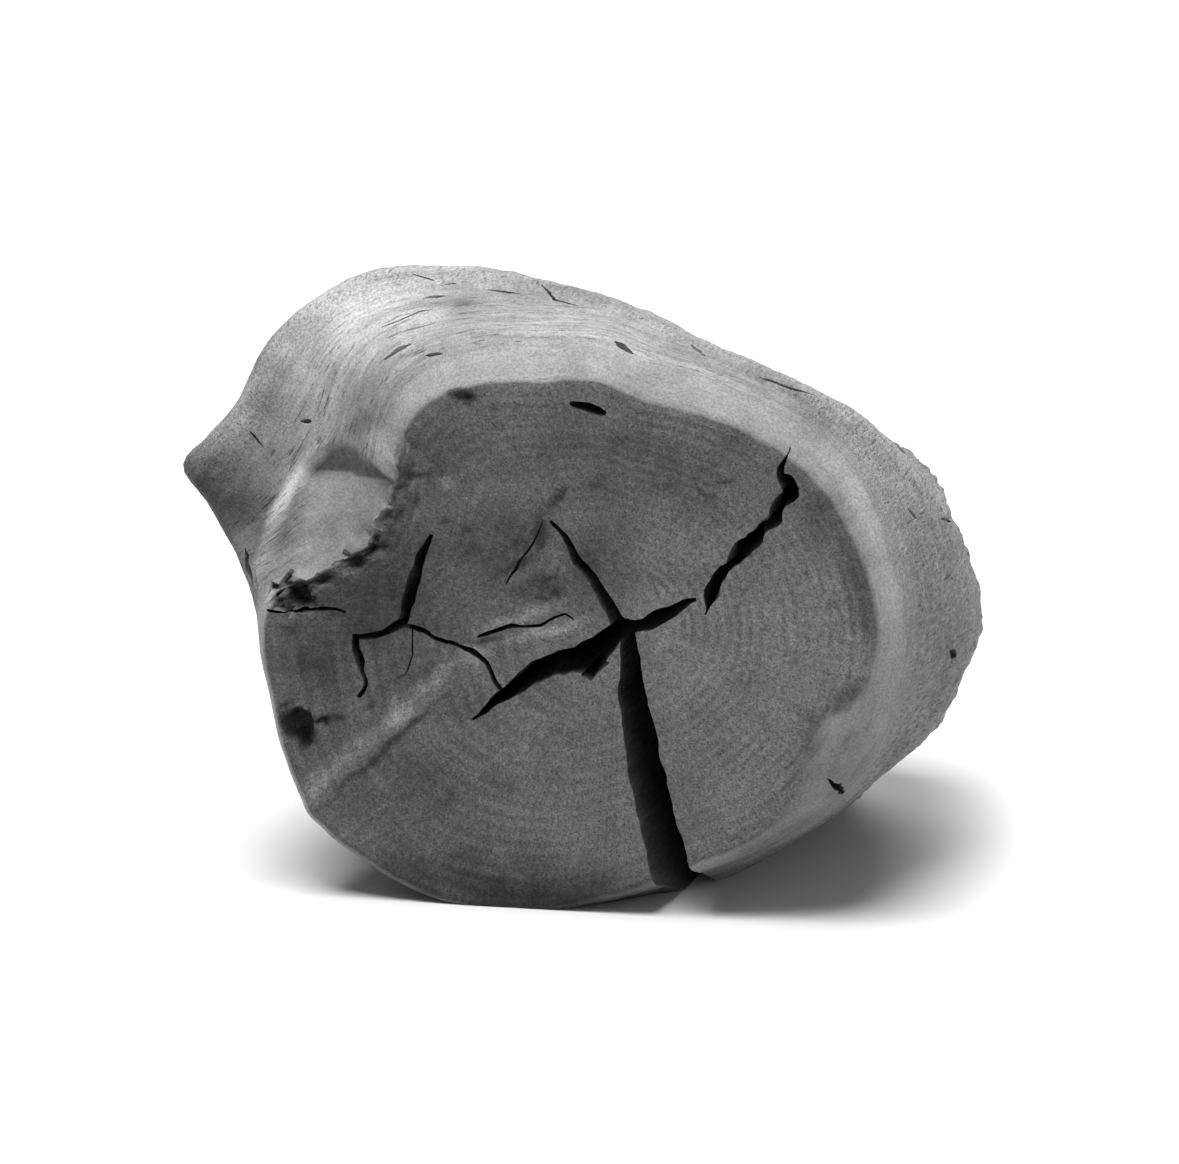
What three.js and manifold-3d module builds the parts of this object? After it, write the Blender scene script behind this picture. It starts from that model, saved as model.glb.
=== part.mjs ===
// A lump of hardwood charcoal: one short piece of a charred branch, 85 mm across, lying on its side.
// Its sawn front end faces -Y and shows a star of drying cracks round the pith. A hewn bevel runs round
// that end and grows into a broad facet and a pointed spur at the upper left. The barrel of the branch
// narrows towards the snapped back end, whose growth rings have broken off in steps. The lump rests on a
// small worn flat underneath. Millimetres, +Z up. The origin is under the middle of the lump, on the
// surface that it rests on.

import * as THREE from "three";
import { LoftGeometry } from "three/addons/geometries/LoftGeometry.js";
import { mergeVertices } from "three/addons/utils/BufferGeometryUtils.js";
import Module from "manifold-3d";

// The pith is the branch's centre line. It runs along +Y from the middle of the front end.
const PITH_X = 8.75;
const PITH_Z = 32.2;
const FRONT_Y = -35.12;

// The front end is slightly domed: its middle stands this far proud of its edge.
const FRONT_DOME = 0.3;

// How far behind the front end each of these outlines lies.
const WAIST_DEPTH = 42;
const HIP_DEPTH = 58;
const RIM_DEPTH = 65.5;

// Outlines round the pith, seen from the front: [angle in degrees from +X towards +Z, distance from the
// pith].
const FRONT_EDGE = [
  [2, 27.9], [17, 27.4], [31, 27.0], [47, 26.1], [64, 24.9], [84, 24.5], [95, 26.2], [109, 27.4],
  [124, 30.0], [135, 30.9], [144, 29.6], [152, 28.2], [165, 28.2], [172, 31.0], [177, 35.2],
  [183, 38.8], [195, 39.5], [206, 40.6], [214, 41.0], [223, 39.6], [236, 37.6], [254, 33.4],
  [269, 30.0], [286, 27.6], [304, 27.4], [324, 27.5], [342, 27.7],
];
const WAIST = [
  [0, 30.2], [30, 23.2], [60, 18.8], [90, 20.4], [115, 26.0], [135, 33.0], [150, 39.5], [165, 43.0],
  [180, 41.5], [200, 39.5], [225, 37.2], [250, 34.4], [270, 33.4], [290, 33.2], [310, 33.8],
  [335, 33.6],
];
const HIP = [
  [0, 25.8], [30, 18.6], [60, 14.8], [90, 16.6], [115, 20.5], [135, 27.0], [150, 33.5], [165, 37.0],
  [180, 37.0], [200, 35.5], [225, 34.5], [250, 32.6], [270, 32.3], [290, 31.6], [310, 30.5],
  [335, 28.5],
];
const RIM = [
  [0, 22.0], [30, 15.8], [60, 12.4], [90, 13.4], [115, 16.5], [135, 21.5], [150, 27.0], [165, 31.5],
  [180, 32.5], [200, 30.5], [225, 28.5], [250, 28.0], [270, 26.5], [290, 26.0], [310, 26.0],
  [335, 24.0],
];

// The bevel round the front end: [angle, growth outwards from the front edge, depth].
const BEVEL = [
  [0, 2.2, 2.6], [30, 3.0, 3.0], [60, 3.4, 3.2], [90, 4.0, 3.4], [115, 4.6, 4.2], [130, 5.6, 5.0],
  [145, 8.2, 7.0], [158, 8.6, 7.4], [168, 6.0, 5.4], [177, 2.2, 2.4], [186, 0.9, 1.3], [225, 0.8, 1.2],
  [270, 0.8, 1.2], [300, 1.0, 1.6], [330, 1.7, 2.2],
];

// The widest line of the barrel: [angle, distance from the pith, depth]. The spur is at 167 degrees.
const SHOULDER = [
  [10, 32.4, 26], [20, 31.3, 24], [29, 30.6, 22], [41, 30.0, 19], [53, 28.9, 17], [66, 28.2, 16],
  [79, 28.4, 16], [95, 31.0, 18], [107, 34.0, 20], [116, 37.5, 21], [124, 41.0, 22], [134, 47.0, 19],
  [142, 49.6, 15], [149, 50.3, 13], [157, 49.8, 12], [163, 51.6, 11], [167, 54.0, 11],
  [170.5, 50.0, 10], [176, 43.6, 7], [184, 40.1, 5], [200, 40.6, 6], [212, 41.4, 7], [223, 40.4, 8],
  [236, 38.6, 9], [254, 35.6, 12], [269, 34.2, 14], [286, 33.2, 14], [300, 32.2, 14], [312, 31.8, 14],
  [318, 31.9, 16], [330, 33.8, 21], [338, 34.9, 25], [350, 34.6, 28],
];

// How far each corner of the lengthwise profile is rounded, from the front edge to the rim of the back
// end.
const CORNER_ROUNDING = [0.6, 2.2, 5, 9, 6, 3];
const SOFT_EDGE = { angle: 312, spread: 24, extra: 2.4 };

// Growth rings broken off in steps on the back end: share of the rim's radius, phase of their waver, rise
// backwards.
const BACK_STEPS = [
  { share: 0.82, phase: 4.0, rise: 1.4 },
  { share: 0.58, phase: 2.0, rise: 1.5 },
  { share: 0.3, phase: 0.4, rise: -1.8 },
];
// The quarters of the back end, between its cracks, have snapped at different depths.
const BACK_QUARTERS = [
  { middle: 63, spread: 42, offset: 0.9 },
  { middle: 155, spread: 50, offset: -0.9 },
  { middle: 253, spread: 46, offset: 0.7 },
  { middle: 341, spread: 40, offset: -0.8 },
];
const BACK_SLANT = { angle: 137, rise: 2.2 };
const BACK_POLE_DEPTH = 67.5;

// Flutes run along the barrel behind the shoulder. They fade in and out between these depths.
const FLUTES = { pairs: 6, height: 1.3, begin: [20, 38], end: [57, 66] };

// A healed knot swells on the left side: its angle, depth, spread and height, and the hole at its middle.
const KNOT = { angle: 222, depth: 40, spread: 10, length: 8, height: 2.0, hole: 2.6 };

// Facets of the loft: points round the branch, and rows along each straight stretch and each rounded
// corner.
const POINTS_AROUND = 96;
const STRAIGHT_ROWS = [4, 1, 2, 3, 3, 1, 2];
const CORNER_ROWS = [2, 2, 3, 3, 3, 2];

// A ledge crosses the lower left of the front end. Above it the wood has been split off, deepest along
// the ledge.
const LEDGE = { from: [-38.5, -25.7], to: [-15.0, -3.6], height: 1.1, ramp: 2.2, reach: 15 };

// Each branch of the front star: the depth of the crack, and [x, z, width] from one end to the other.
const FRONT_CRACKS = [
  { depth: 44, path: [[0.9, -0.4, 1.7], [1.4, -7.8, 2.9], [2.7, -14.9, 3.8], [3.9, -20.5, 4.2],
    [5.5, -26.5, 4.3], [7.4, -37.5, 4.8]] },
  { depth: 11, path: [[0.6, -0.6, 1.6], [-2.1, 3.5, 1.3], [-4.3, 6.6, 1.1], [-6.0, 9.1, 0.7],
    [-7.6, 10.7, 0.3]] },
  { depth: 16, path: [[0.9, 0.2, 1.7], [-2.4, -3.0, 3.0], [-4.4, -4.4, 2.9], [-7.5, -5.0, 2.4],
    [-10.3, -6.8, 2.0], [-12.4, -8.5, 1.4], [-14.9, -10.5, 0.7], [-16.2, -11.5, 0.3]] },
  { depth: 4, path: [[-2.6, -3.6, 2.2], [-3.9, -6.3, 0.4]] },
  { depth: 10, path: [[-0.4, -0.2, 1.3], [3.2, 0.3, 1.5], [5.3, 1.4, 1.3], [7.1, 2.5, 1.0],
    [8.4, 2.9, 0.4]] },
  { depth: 9, path: [[9.1, 1.9, 0.6], [10.6, 4.4, 1.4], [12.4, 7.0, 1.5], [13.8, 8.6, 1.8],
    [15.6, 10.5, 1.5], [17.1, 13.1, 1.7], [17.9, 15.2, 1.4], [17.8, 17.3, 0.8], [18.2, 19.4, 0.5]] },
  { depth: 6, path: [[-20.2, 8.7, 0.4], [-22.0, 5.3, 1.0], [-23.1, 1.7, 1.3], [-23.9, -1.7, 1.1]] },
  { depth: 5, path: [[-23.4, -1.0, 1.0], [-25.9, -2.4, 0.7], [-29.1, -3.2, 0.6]] },
  { depth: 5, path: [[-28.9, -2.8, 0.7], [-28.4, -5.4, 0.8], [-28.0, -7.9, 0.5], [-27.7, -10.0, 0.3]] },
  { depth: 5, path: [[-24.2, -0.9, 0.8], [-21.0, -1.8, 0.6], [-18.1, -2.5, 0.6], [-16.0, -3.1, 0.6],
    [-14.2, -4.6, 0.6], [-13.4, -6.6, 0.5], [-12.5, -8.3, 0.5]] },
];

// The small slot near the top of the front end.
const SLOT = { x: -3.3, z: 23.3, length: 4.0, height: 1.2, depth: 3, tilt: -10 };

// Places where the edge of the front end has crumbled away: centre, half sizes across, along and up.
const CRUMBLED = [
  { at: [-35.4, 0.4, 1.6], size: [3.4, 2.2, 1.5] },
  { at: [-30.4, 0.2, 3.6], size: [2.2, 1.5, 1.1] },
  { at: [-36.4, 0.6, -12.8], size: [2.4, 1.8, 2.7] },
];

// Drying cracks along the barrel: angle round the pith, first and last depth, width and how deep they
// cut.
const BARREL_CRACKS = [
  { angle: 206, from: 14, to: 62, width: 2.2, cut: 7 },
  { angle: 22, from: 33, to: 66, width: 1.8, cut: 6 },
  { angle: 104, from: 38, to: 69, width: 2.2, cut: 7 },
  { angle: 336, from: 38, to: 63, width: 1.4, cut: 4 },
  { angle: 158, from: 30, to: 56, width: 1.6, cut: 5 },
  { angle: 242, from: 26, to: 58, width: 1.4, cut: 4 },
];

// Cracks of the snapped back end: angle round the pith, inner and outer distance, width and depth.
const BACK_CRACKS = [
  { angle: 104, inner: 1, outer: 19, width: 2.2, depth: 12 },
  { angle: 206, inner: 2, outer: 33, width: 2.2, depth: 10 },
  { angle: 300, inner: 1, outer: 24, width: 1.8, depth: 9 },
  { angle: 22, inner: 2, outer: 19, width: 1.8, depth: 9 },
];

const radians = THREE.MathUtils.degToRad;
const smoothstep = THREE.MathUtils.smoothstep;

// Signed difference between two angles in degrees, from -180 to 180.
function turn(a, b) {
  return ((((a - b + 180) % 360) + 360) % 360) - 180;
}

// A bell-shaped bump round one angle, 1 at its middle.
function bump(angle, middle, spread) {
  return Math.exp(-((turn(angle, middle) / spread) ** 2));
}

// One column of a closed outline at any angle: a cubic through its points, with slopes from their
// neighbours.
function along(outline, angle, column = 1) {
  const count = outline.length;
  let i = 0;
  while (i < count && outline[i][0] <= angle) i += 1;
  const knot = (k) => {
    const lap = Math.floor(k / count);
    const row = outline[k - lap * count];
    return [row[0] + 360 * lap, row[column]];
  };
  const [before, start, end, after] = [i - 2, i - 1, i, i + 1].map(knot);
  const span = end[0] - start[0];
  const t = (angle - start[0]) / span;
  const slopeStart = ((end[1] - before[1]) / (end[0] - before[0])) * span;
  const slopeEnd = ((after[1] - start[1]) / (after[0] - start[0])) * span;
  return (
    (2 * t ** 3 - 3 * t ** 2 + 1) * start[1] +
    (t ** 3 - 2 * t ** 2 + t) * slopeStart +
    (3 * t ** 2 - 2 * t ** 3) * end[1] +
    (t ** 3 - t ** 2) * slopeEnd
  );
}

// The lengthwise profile at one angle, as [distance from the pith, depth] at the pith and at each corner.
function corners(angle) {
  const edge = along(FRONT_EDGE, angle);
  return [
    new THREE.Vector2(0.6, -FRONT_DOME),
    new THREE.Vector2(edge, 0),
    new THREE.Vector2(edge + along(BEVEL, angle, 1), along(BEVEL, angle, 2)),
    new THREE.Vector2(along(SHOULDER, angle, 1), along(SHOULDER, angle, 2)),
    new THREE.Vector2(along(WAIST, angle), WAIST_DEPTH),
    new THREE.Vector2(along(HIP, angle), HIP_DEPTH),
    new THREE.Vector2(along(RIM, angle), RIM_DEPTH),
    ...terraces(angle),
  ];
}

// The broken rings of the back end, as two points for each step and one near the pith.
function terraces(angle) {
  const rim = along(RIM, angle);
  const a = radians(angle);
  const tilt = (radius) => BACK_SLANT.rise * Math.cos(radians(angle - BACK_SLANT.angle)) * (radius / 25);
  const quarter = BACK_QUARTERS.find(({ middle, spread }) => Math.abs(turn(angle, middle)) < spread);
  const points = [];
  let depth = RIM_DEPTH + 0.6 + (quarter ? quarter.offset : 0);
  BACK_STEPS.forEach(({ share, phase, rise }) => {
    const slow = 0.06 * Math.cos(2 * a + phase) + 0.04 * Math.cos(5 * a + 2 * phase);
    const quick = 0.025 * Math.cos(13 * a);
    const radius = rim * (share + slow + quick);
    points.push(new THREE.Vector2(radius + 0.4, depth + tilt(radius)));
    points.push(new THREE.Vector2(radius - 0.4, depth + rise + tilt(radius)));
    depth += rise;
  });
  points.push(new THREE.Vector2(0.6, BACK_POLE_DEPTH));
  return points;
}

// The point a given distance from a corner towards its neighbour, at most 45 % of the way.
function beside(corner, neighbour, distance) {
  const length = corner.distanceTo(neighbour);
  return corner.clone().lerp(neighbour, Math.min(distance / length, 0.45));
}

// The profile with its corners rounded by quadratic curves, row by row.
function profileRows(angle) {
  const q = corners(angle);
  const rim = CORNER_ROUNDING.length;
  const rows = [q[0]];
  for (let k = 1; k < q.length; k += 1) {
    let rounding = k <= rim ? CORNER_ROUNDING[k - 1] : 0;
    if (k === 1) rounding += SOFT_EDGE.extra * bump(angle, SOFT_EDGE.angle, SOFT_EDGE.spread);
    const start = rows[rows.length - 1];
    const end = rounding > 0 ? beside(q[k], q[k - 1], rounding) : q[k];
    const straight = k <= rim ? STRAIGHT_ROWS[k - 1] : 1;
    for (let i = 1; i <= straight; i += 1) rows.push(start.clone().lerp(end, i / straight));
    if (rounding === 0) continue;
    const arc = new THREE.QuadraticBezierCurve(end, q[k], beside(q[k], q[k + 1], rounding));
    for (let i = 1; i <= CORNER_ROWS[k - 1]; i += 1) rows.push(arc.getPoint(i / CORNER_ROWS[k - 1]));
  }
  return rows;
}

// How far the barrel swells: shallow flutes along the grain that begin behind the shoulder, and the knot.
function sideRelief(angle, depth) {
  const a = radians(angle);
  const scallops = Math.abs(Math.cos(FLUTES.pairs * a + 0.9 * Math.sin(2 * a + 1) + 0.012 * depth)) - 0.6;
  const strength = smoothstep(depth, ...FLUTES.begin) * (1 - smoothstep(depth, ...FLUTES.end));
  const lengthwise = Math.exp(-(((depth - KNOT.depth) / KNOT.length) ** 2));
  const knot = KNOT.height * bump(angle, KNOT.angle, KNOT.spread) * lengthwise;
  return FLUTES.height * scallops * strength + knot;
}

// The surface of the lump without its cracks, lofted through one ring of points per row.
function makeBarrel() {
  const angles = [];
  for (let i = 0; i < POINTS_AROUND; i += 1) angles.push(360 * (1 - (i + 0.5) / POINTS_AROUND));
  const profiles = angles.map(profileRows);
  const sections = profiles[0].map((_, row) =>
    profiles.map((profile, i) => {
      const { x: radius, y: depth } = profile[row];
      const distance = radius + sideRelief(angles[i], depth);
      return outwards(angles[i]).multiplyScalar(distance).setY(depth);
    }),
  );
  return new LoftGeometry(sections, { capStart: true, capEnd: true });
}

// The solid that a crack takes out: a ring of four corners at each station, two at its mouth and two at
// its bottom.
function crackCutter(stations) {
  const rings = stations.map(({ mouth, bottom, across, mouthWidth, bottomWidth }) => [
    mouth.clone().addScaledVector(across, mouthWidth / 2),
    mouth.clone().addScaledVector(across, -mouthWidth / 2),
    bottom.clone().addScaledVector(across, -bottomWidth / 2),
    bottom.clone().addScaledVector(across, bottomWidth / 2),
  ]);
  return new LoftGeometry(rings, { capStart: true, capEnd: true });
}

// The unit vector away from the pith at one angle, and the one square to it, towards growing angles.
function outwards(angle) {
  return new THREE.Vector3(Math.cos(radians(angle)), 0, Math.sin(radians(angle)));
}
function sideways(angle) {
  return new THREE.Vector3(-Math.sin(radians(angle)), 0, Math.cos(radians(angle)));
}

// One branch of the front star.
function frontCrack({ path, depth }) {
  const stations = path.map(([x, z, width], i) => {
    const [x0, z0] = path[Math.max(i - 1, 0)];
    const [x1, z1] = path[Math.min(i + 1, path.length - 1)];
    return {
      mouth: new THREE.Vector3(x, -3, z),
      bottom: new THREE.Vector3(x, depth, z),
      across: new THREE.Vector3(z0 - z1, 0, x1 - x0).normalize(),
      mouthWidth: width * (1 + 3 / depth),
      bottomWidth: width * 0.12,
    };
  });
  return crackCutter(stations);
}

// One drying crack of the barrel, which tapers to almost nothing at both ends.
function barrelCrack({ angle, from, to, width, cut }) {
  const stations = [0, 0.2, 0.4, 0.6, 0.8, 1].map((t) => {
    const depth = THREE.MathUtils.lerp(from, to, t);
    const wander = angle + 1.6 * Math.sin(9 * t + angle);
    const swell = Math.max(Math.sin(Math.PI * t), 0.12);
    const surface = barrelRadius(angle, depth);
    const centre = new THREE.Vector3(0, depth, 0);
    return {
      mouth: centre.clone().addScaledVector(outwards(wander), surface + 3),
      bottom: centre.clone().addScaledVector(outwards(wander), surface - cut * swell),
      across: sideways(wander),
      mouthWidth: width * swell * (1 + 3 / cut),
      bottomWidth: 0.2,
    };
  });
  return crackCutter(stations);
}

// One crack of the back end, along a spoke from near the pith to the rim.
function backCrack({ angle, inner, outer, width, depth }) {
  const stations = [0, 0.35, 0.7, 1].map((t) => {
    const wander = angle + 5 * Math.sin(7 * t + angle);
    const foot = outwards(wander).multiplyScalar(THREE.MathUtils.lerp(inner, outer, t));
    return {
      mouth: foot.clone().setY(RIM_DEPTH + 9),
      bottom: foot.clone().setY(RIM_DEPTH + 3 - depth),
      across: sideways(wander).negate(),
      mouthWidth: width * (0.3 + 0.7 * t) * 1.4,
      bottomWidth: 0.2,
    };
  });
  return crackCutter(stations);
}

// What is split off above the ledge: a wedge under the face, deepest at the foot of its ramp.
function ledgeCutter({ from, to, height, ramp, reach }) {
  const start = new THREE.Vector3(from[0], 0, from[1]);
  const end = new THREE.Vector3(to[0], 0, to[1]);
  const across = new THREE.Vector3(from[1] - to[1], 0, to[0] - from[0]).normalize();
  const rings = [0, 0.55, 0.85, 1].map((t) => {
    const foot = start.clone().lerp(end, t);
    const share = t < 0.6 ? 1 : 0.08 + 2.3 * (1 - t);
    const place = (sideStep, depth) => foot.clone().addScaledVector(across, sideStep).setY(depth);
    const narrow = Math.min(share, 1);
    return [
      place(reach * narrow, -3),
      place(0, -3),
      place(0, -0.01),
      place(ramp * narrow, height * narrow),
      place(reach * narrow, -0.01),
    ];
  });
  return new LoftGeometry(rings, { capStart: true, capEnd: true });
}

// The slot near the top of the front end, a short eight-sided hole.
function slotBlock({ x, z, length, height, depth, tilt }) {
  const hole = new THREE.CylinderGeometry(0.5, 0.35, depth + 2, 8);
  hole.scale(length, 1, height);
  hole.rotateX(Math.PI);
  hole.rotateY(radians(-tilt));
  hole.translate(x, depth / 2 - 1, z);
  return hole;
}

// The hole at the middle of the knot, where a twig has rotted out.
function knotHole({ angle, depth, hole, height }) {
  const surface = barrelRadius(angle, depth) + sideRelief(angle, depth);
  const ball = new THREE.IcosahedronGeometry(hole, 1);
  ball.scale(1, 1.5, 1);
  const middle = outwards(angle).multiplyScalar(surface + 0.4 - height / 4).setY(depth);
  return ball.translate(middle.x, middle.y, middle.z);
}

// A crumbled place, cut out by a rough faceted ball.
function crumbledBlock({ at, size }) {
  const ball = new THREE.IcosahedronGeometry(1, 1);
  ball.scale(...size);
  ball.rotateY(radians(25));
  ball.translate(...at);
  return ball;
}

// The box under the lump that its worn flat is cut by.
function floorBlock() {
  const side = 200;
  return new THREE.BoxGeometry(side, side, side).translate(0, RIM_DEPTH / 2, -PITH_Z - side / 2);
}

// Distance from the pith to the barrel at one angle and depth.
function barrelRadius(angle, depth) {
  const rows = profileRows(angle);
  const i = rows.findIndex((row) => row.y >= Math.min(depth, RIM_DEPTH));
  const [a, b] = [rows[i - 1], rows[i]];
  return THREE.MathUtils.lerp(a.x, b.x, Math.min((depth - a.y) / (b.y - a.y), 1));
}

const wasm = await Module();
wasm.setup();

// A closed geometry as a solid that can be cut and joined.
function solid(geometry) {
  const bare = geometry.index ? geometry.toNonIndexed() : geometry.clone();
  bare.deleteAttribute("normal");
  bare.deleteAttribute("uv");
  const merged = mergeVertices(bare, 1e-4);
  return new wasm.Manifold(
    new wasm.Mesh({
      numProp: 3,
      vertProperties: new Float32Array(merged.attributes.position.array),
      triVerts: new Uint32Array(merged.index.array),
    }),
  );
}

// A solid's surface as a geometry, with flat faces.
function geometryOf(body) {
  const mesh = body.getMesh();
  const geometry = new THREE.BufferGeometry();
  geometry.setAttribute("position", new THREE.BufferAttribute(new Float32Array(mesh.vertProperties), 3));
  geometry.setIndex(new THREE.BufferAttribute(new Uint32Array(mesh.triVerts), 1));
  const flat = geometry.toNonIndexed();
  flat.computeVertexNormals();
  return flat;
}

// The whole lump: the barrel, less its cracks, the slot, the crumbled places and what the worn flat takes
// off.
function makeLump() {
  const cuts = [
    ...FRONT_CRACKS.map(frontCrack),
    ...BARREL_CRACKS.map(barrelCrack),
    ...BACK_CRACKS.map(backCrack),
    ...CRUMBLED.map(crumbledBlock),
    ledgeCutter(LEDGE),
    slotBlock(SLOT),
    knotHole(KNOT),
    floorBlock(),
  ];
  return solid(makeBarrel()).subtract(wasm.Manifold.union(cuts.map(solid)));
}

const charcoal = new THREE.MeshStandardMaterial({ color: 0x3a3a3a, roughness: 0.62, metalness: 0 });
const lump = new THREE.Mesh(geometryOf(makeLump()), charcoal);
lump.name = "charcoal_lump";
lump.position.set(PITH_X, FRONT_Y, PITH_Z);

const charcoalLump = new THREE.Group();
charcoalLump.add(lump);

export default charcoalLump;
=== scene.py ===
"""A lump of hardwood charcoal lying on a pale floor.

The lump is one surface round the pith of a charred branch. Each point of it is found from two
parameters: the angle round the pith, and how far along the lengthwise profile it lies, from the middle
of the sawn front end, over the bevel and the barrel, to the middle of the snapped back end. Drying
cracks are then cut out of it. Sizes are in millimetres, measured from the pith at the front end: x to
the right, depth backwards and z up. place() turns them into the frame's metres.
"""

import math

import bmesh
import bpy
import numpy as np
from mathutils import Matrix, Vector


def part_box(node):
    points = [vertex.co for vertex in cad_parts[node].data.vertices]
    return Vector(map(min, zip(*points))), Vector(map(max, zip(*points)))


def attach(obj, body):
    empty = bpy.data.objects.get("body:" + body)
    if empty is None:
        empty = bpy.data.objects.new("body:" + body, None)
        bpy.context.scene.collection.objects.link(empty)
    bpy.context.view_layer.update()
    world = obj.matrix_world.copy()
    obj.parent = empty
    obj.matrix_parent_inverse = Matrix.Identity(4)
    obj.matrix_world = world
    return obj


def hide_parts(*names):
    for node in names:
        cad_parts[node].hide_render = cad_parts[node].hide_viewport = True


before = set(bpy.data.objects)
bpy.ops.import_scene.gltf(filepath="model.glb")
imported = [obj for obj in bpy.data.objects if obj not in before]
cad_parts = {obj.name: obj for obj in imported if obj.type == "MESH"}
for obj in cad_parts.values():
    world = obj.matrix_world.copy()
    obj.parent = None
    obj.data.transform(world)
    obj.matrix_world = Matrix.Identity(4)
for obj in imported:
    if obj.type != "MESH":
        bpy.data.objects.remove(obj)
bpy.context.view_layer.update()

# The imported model's corners, as seen from the pith at the front end.
LOW_CORNER = np.array([-51.37, -0.30, -32.20])
HIGH_CORNER = np.array([33.85, 70.55, 33.23])

# The front end is slightly domed. The other outlines lie this far behind its edge.
FRONT_DOME = 0.3
WAIST_DEPTH = 42
HIP_DEPTH = 58
RIM_DEPTH = 65.5
BACK_POLE_DEPTH = 67.5

# Outlines round the pith, seen from the front: [angle from +X towards +Z, distance from the pith].
FRONT_EDGE = [
    [2, 27.9], [17, 27.4], [31, 27.0], [47, 26.1], [64, 24.9], [84, 24.5], [95, 26.2], [109, 27.4],
    [124, 30.0], [135, 31.1], [144, 29.8], [152, 28.0], [164, 28.3], [170, 30.5], [174, 33.2],
    [179, 37.6], [184, 39.1], [195, 39.5], [206, 40.6], [214, 41.0], [223, 39.6], [236, 37.6], [254, 33.4],
    [269, 30.0], [286, 27.6], [304, 27.4], [324, 27.5], [342, 27.7],
]
WAIST = [
    [0, 30.2], [30, 23.2], [60, 18.8], [90, 20.4], [115, 26.0], [135, 33.0], [150, 39.5], [165, 43.0],
    [180, 41.5], [200, 39.5], [225, 37.2], [250, 34.4], [270, 33.4], [290, 33.2], [310, 33.8],
    [335, 33.6],
]
HIP = [
    [0, 25.8], [30, 18.6], [60, 14.8], [90, 16.6], [115, 20.5], [135, 27.0], [150, 33.5], [165, 37.0],
    [180, 37.0], [200, 35.5], [225, 34.5], [250, 32.6], [270, 32.3], [290, 31.6], [310, 30.5],
    [335, 28.5],
]
RIM = [
    [0, 22.0], [30, 15.8], [60, 12.4], [90, 13.4], [115, 16.5], [135, 21.5], [150, 27.0], [165, 31.5],
    [180, 32.5], [200, 30.5], [225, 28.5], [250, 28.0], [270, 26.5], [290, 26.0], [310, 26.0],
    [335, 24.0],
]

# The bevel round the front end: [angle, growth outwards from the front edge, depth].
BEVEL = [
    [0, 2.2, 2.6], [30, 3.0, 3.0], [60, 3.4, 3.2], [90, 4.0, 3.4], [115, 4.6, 4.2], [130, 5.6, 5.0],
    [145, 8.2, 7.0], [156, 10.2, 7.6], [166, 10.8, 7.2], [174, 7.2, 5.0], [179, 2.6, 2.8], [186, 0.9, 1.3],
    [225, 0.8, 1.2], [270, 0.8, 1.2], [300, 1.0, 1.6], [330, 1.7, 2.2],
]

# The widest line of the barrel: [angle, distance from the pith, depth]. The spur is at 167 degrees.
SHOULDER = [
    [10, 32.4, 26], [20, 31.3, 24], [29, 30.6, 22], [41, 30.0, 19], [53, 28.9, 17], [66, 28.2, 16],
    [79, 28.4, 16], [95, 31.0, 18], [107, 34.0, 20], [116, 37.5, 21], [124, 41.0, 22],
    [134, 47.0, 19], [142, 49.6, 15], [149, 50.3, 13], [157, 49.8, 12], [163, 51.6, 11],
    [167, 53.4, 11], [170.5, 49.6, 10], [176, 44.6, 7], [184, 41.0, 5], [200, 40.6, 6],
    [212, 41.4, 7], [223, 40.4, 8], [236, 38.6, 9], [254, 35.6, 12], [269, 34.2, 14], [286, 33.2, 14],
    [300, 32.2, 14], [312, 31.8, 14], [318, 31.9, 16], [330, 33.8, 21], [338, 34.9, 25],
    [350, 34.6, 28],
]

# How far each corner of the lengthwise profile is rounded, and how much more the front edge is rounded
# at its lower right, where the end and the barrel run into each other.
CORNER_ROUNDING = [0.6, 2.2, 5, 9, 6, 3]
SOFT_EDGE = {"angle": 320, "spread": 26, "extra": 3.2}
# Where the sawn look ends that far inside the edge, because the edge is worn away there.
WORN_EDGE = {"angle": 333, "spread": 12, "inwards": 2.8}

# Growth rings broken off in steps on the back end: share of the rim's radius, phase, rise backwards.
BACK_STEPS = [[0.82, 4.0, 1.4], [0.58, 2.0, 1.5], [0.3, 0.4, -1.8]]
# The quarters of the back end have snapped at different depths: middle, half width, offset.
BACK_QUARTERS = [[63, 42, 0.9], [155, 50, -0.9], [253, 46, 0.7], [341, 40, -0.8]]
# The back end leans: towards that angle it reaches that much further back, 25 mm from the pith.
BACK_SLANT = {"angle": 137, "rise": 2.2}

# Flutes along the grain rise between the first two depths and fade between the last two.
FLUTES = {"pairs": 6, "height": 1.3, "begin": (20, 38), "end": (57, 66)}
# The healed knot on the left: its place, its spread round and along the branch, how far it swells, and
# the radius and depth of its hole.
KNOT = {"angle": 222, "depth": 40, "from_pith": 38, "spread": 10, "length": 8, "height": 2.0,
        "hole": 2.6, "hole_depth": 2.4}
# How far the barrel's fine relief stands out: layers round the branch near the front; behind the
# shoulder, coarse and fine ridges along it, with furrows between them; and slow waves and grain.
RELIEF = {"layers": 0.11, "ridges": 0.36, "fine_ridges": 0.2, "furrows": -0.75, "waves": 0.32,
          "grain": 0.06}

# Steps of the fine surface: round the branch, along each straight stretch and round each corner.
POINTS_AROUND = 420
STRAIGHT_ROWS = [58, 12, 12, 18, 14, 5, 3]
CORNER_ROWS = [4, 6, 12, 14, 10, 8]
STEP_ROWS = 4

# The ledge across the lower left of the front end: the ends of its line, its height, how wide its ramp
# is, and how far above it the wood is split off.
LEDGE = {"start": (-38.0, -26.0), "end": (-15.0, -4.3), "height": 1.2, "ramp": 1.5, "reach": 15}

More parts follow.
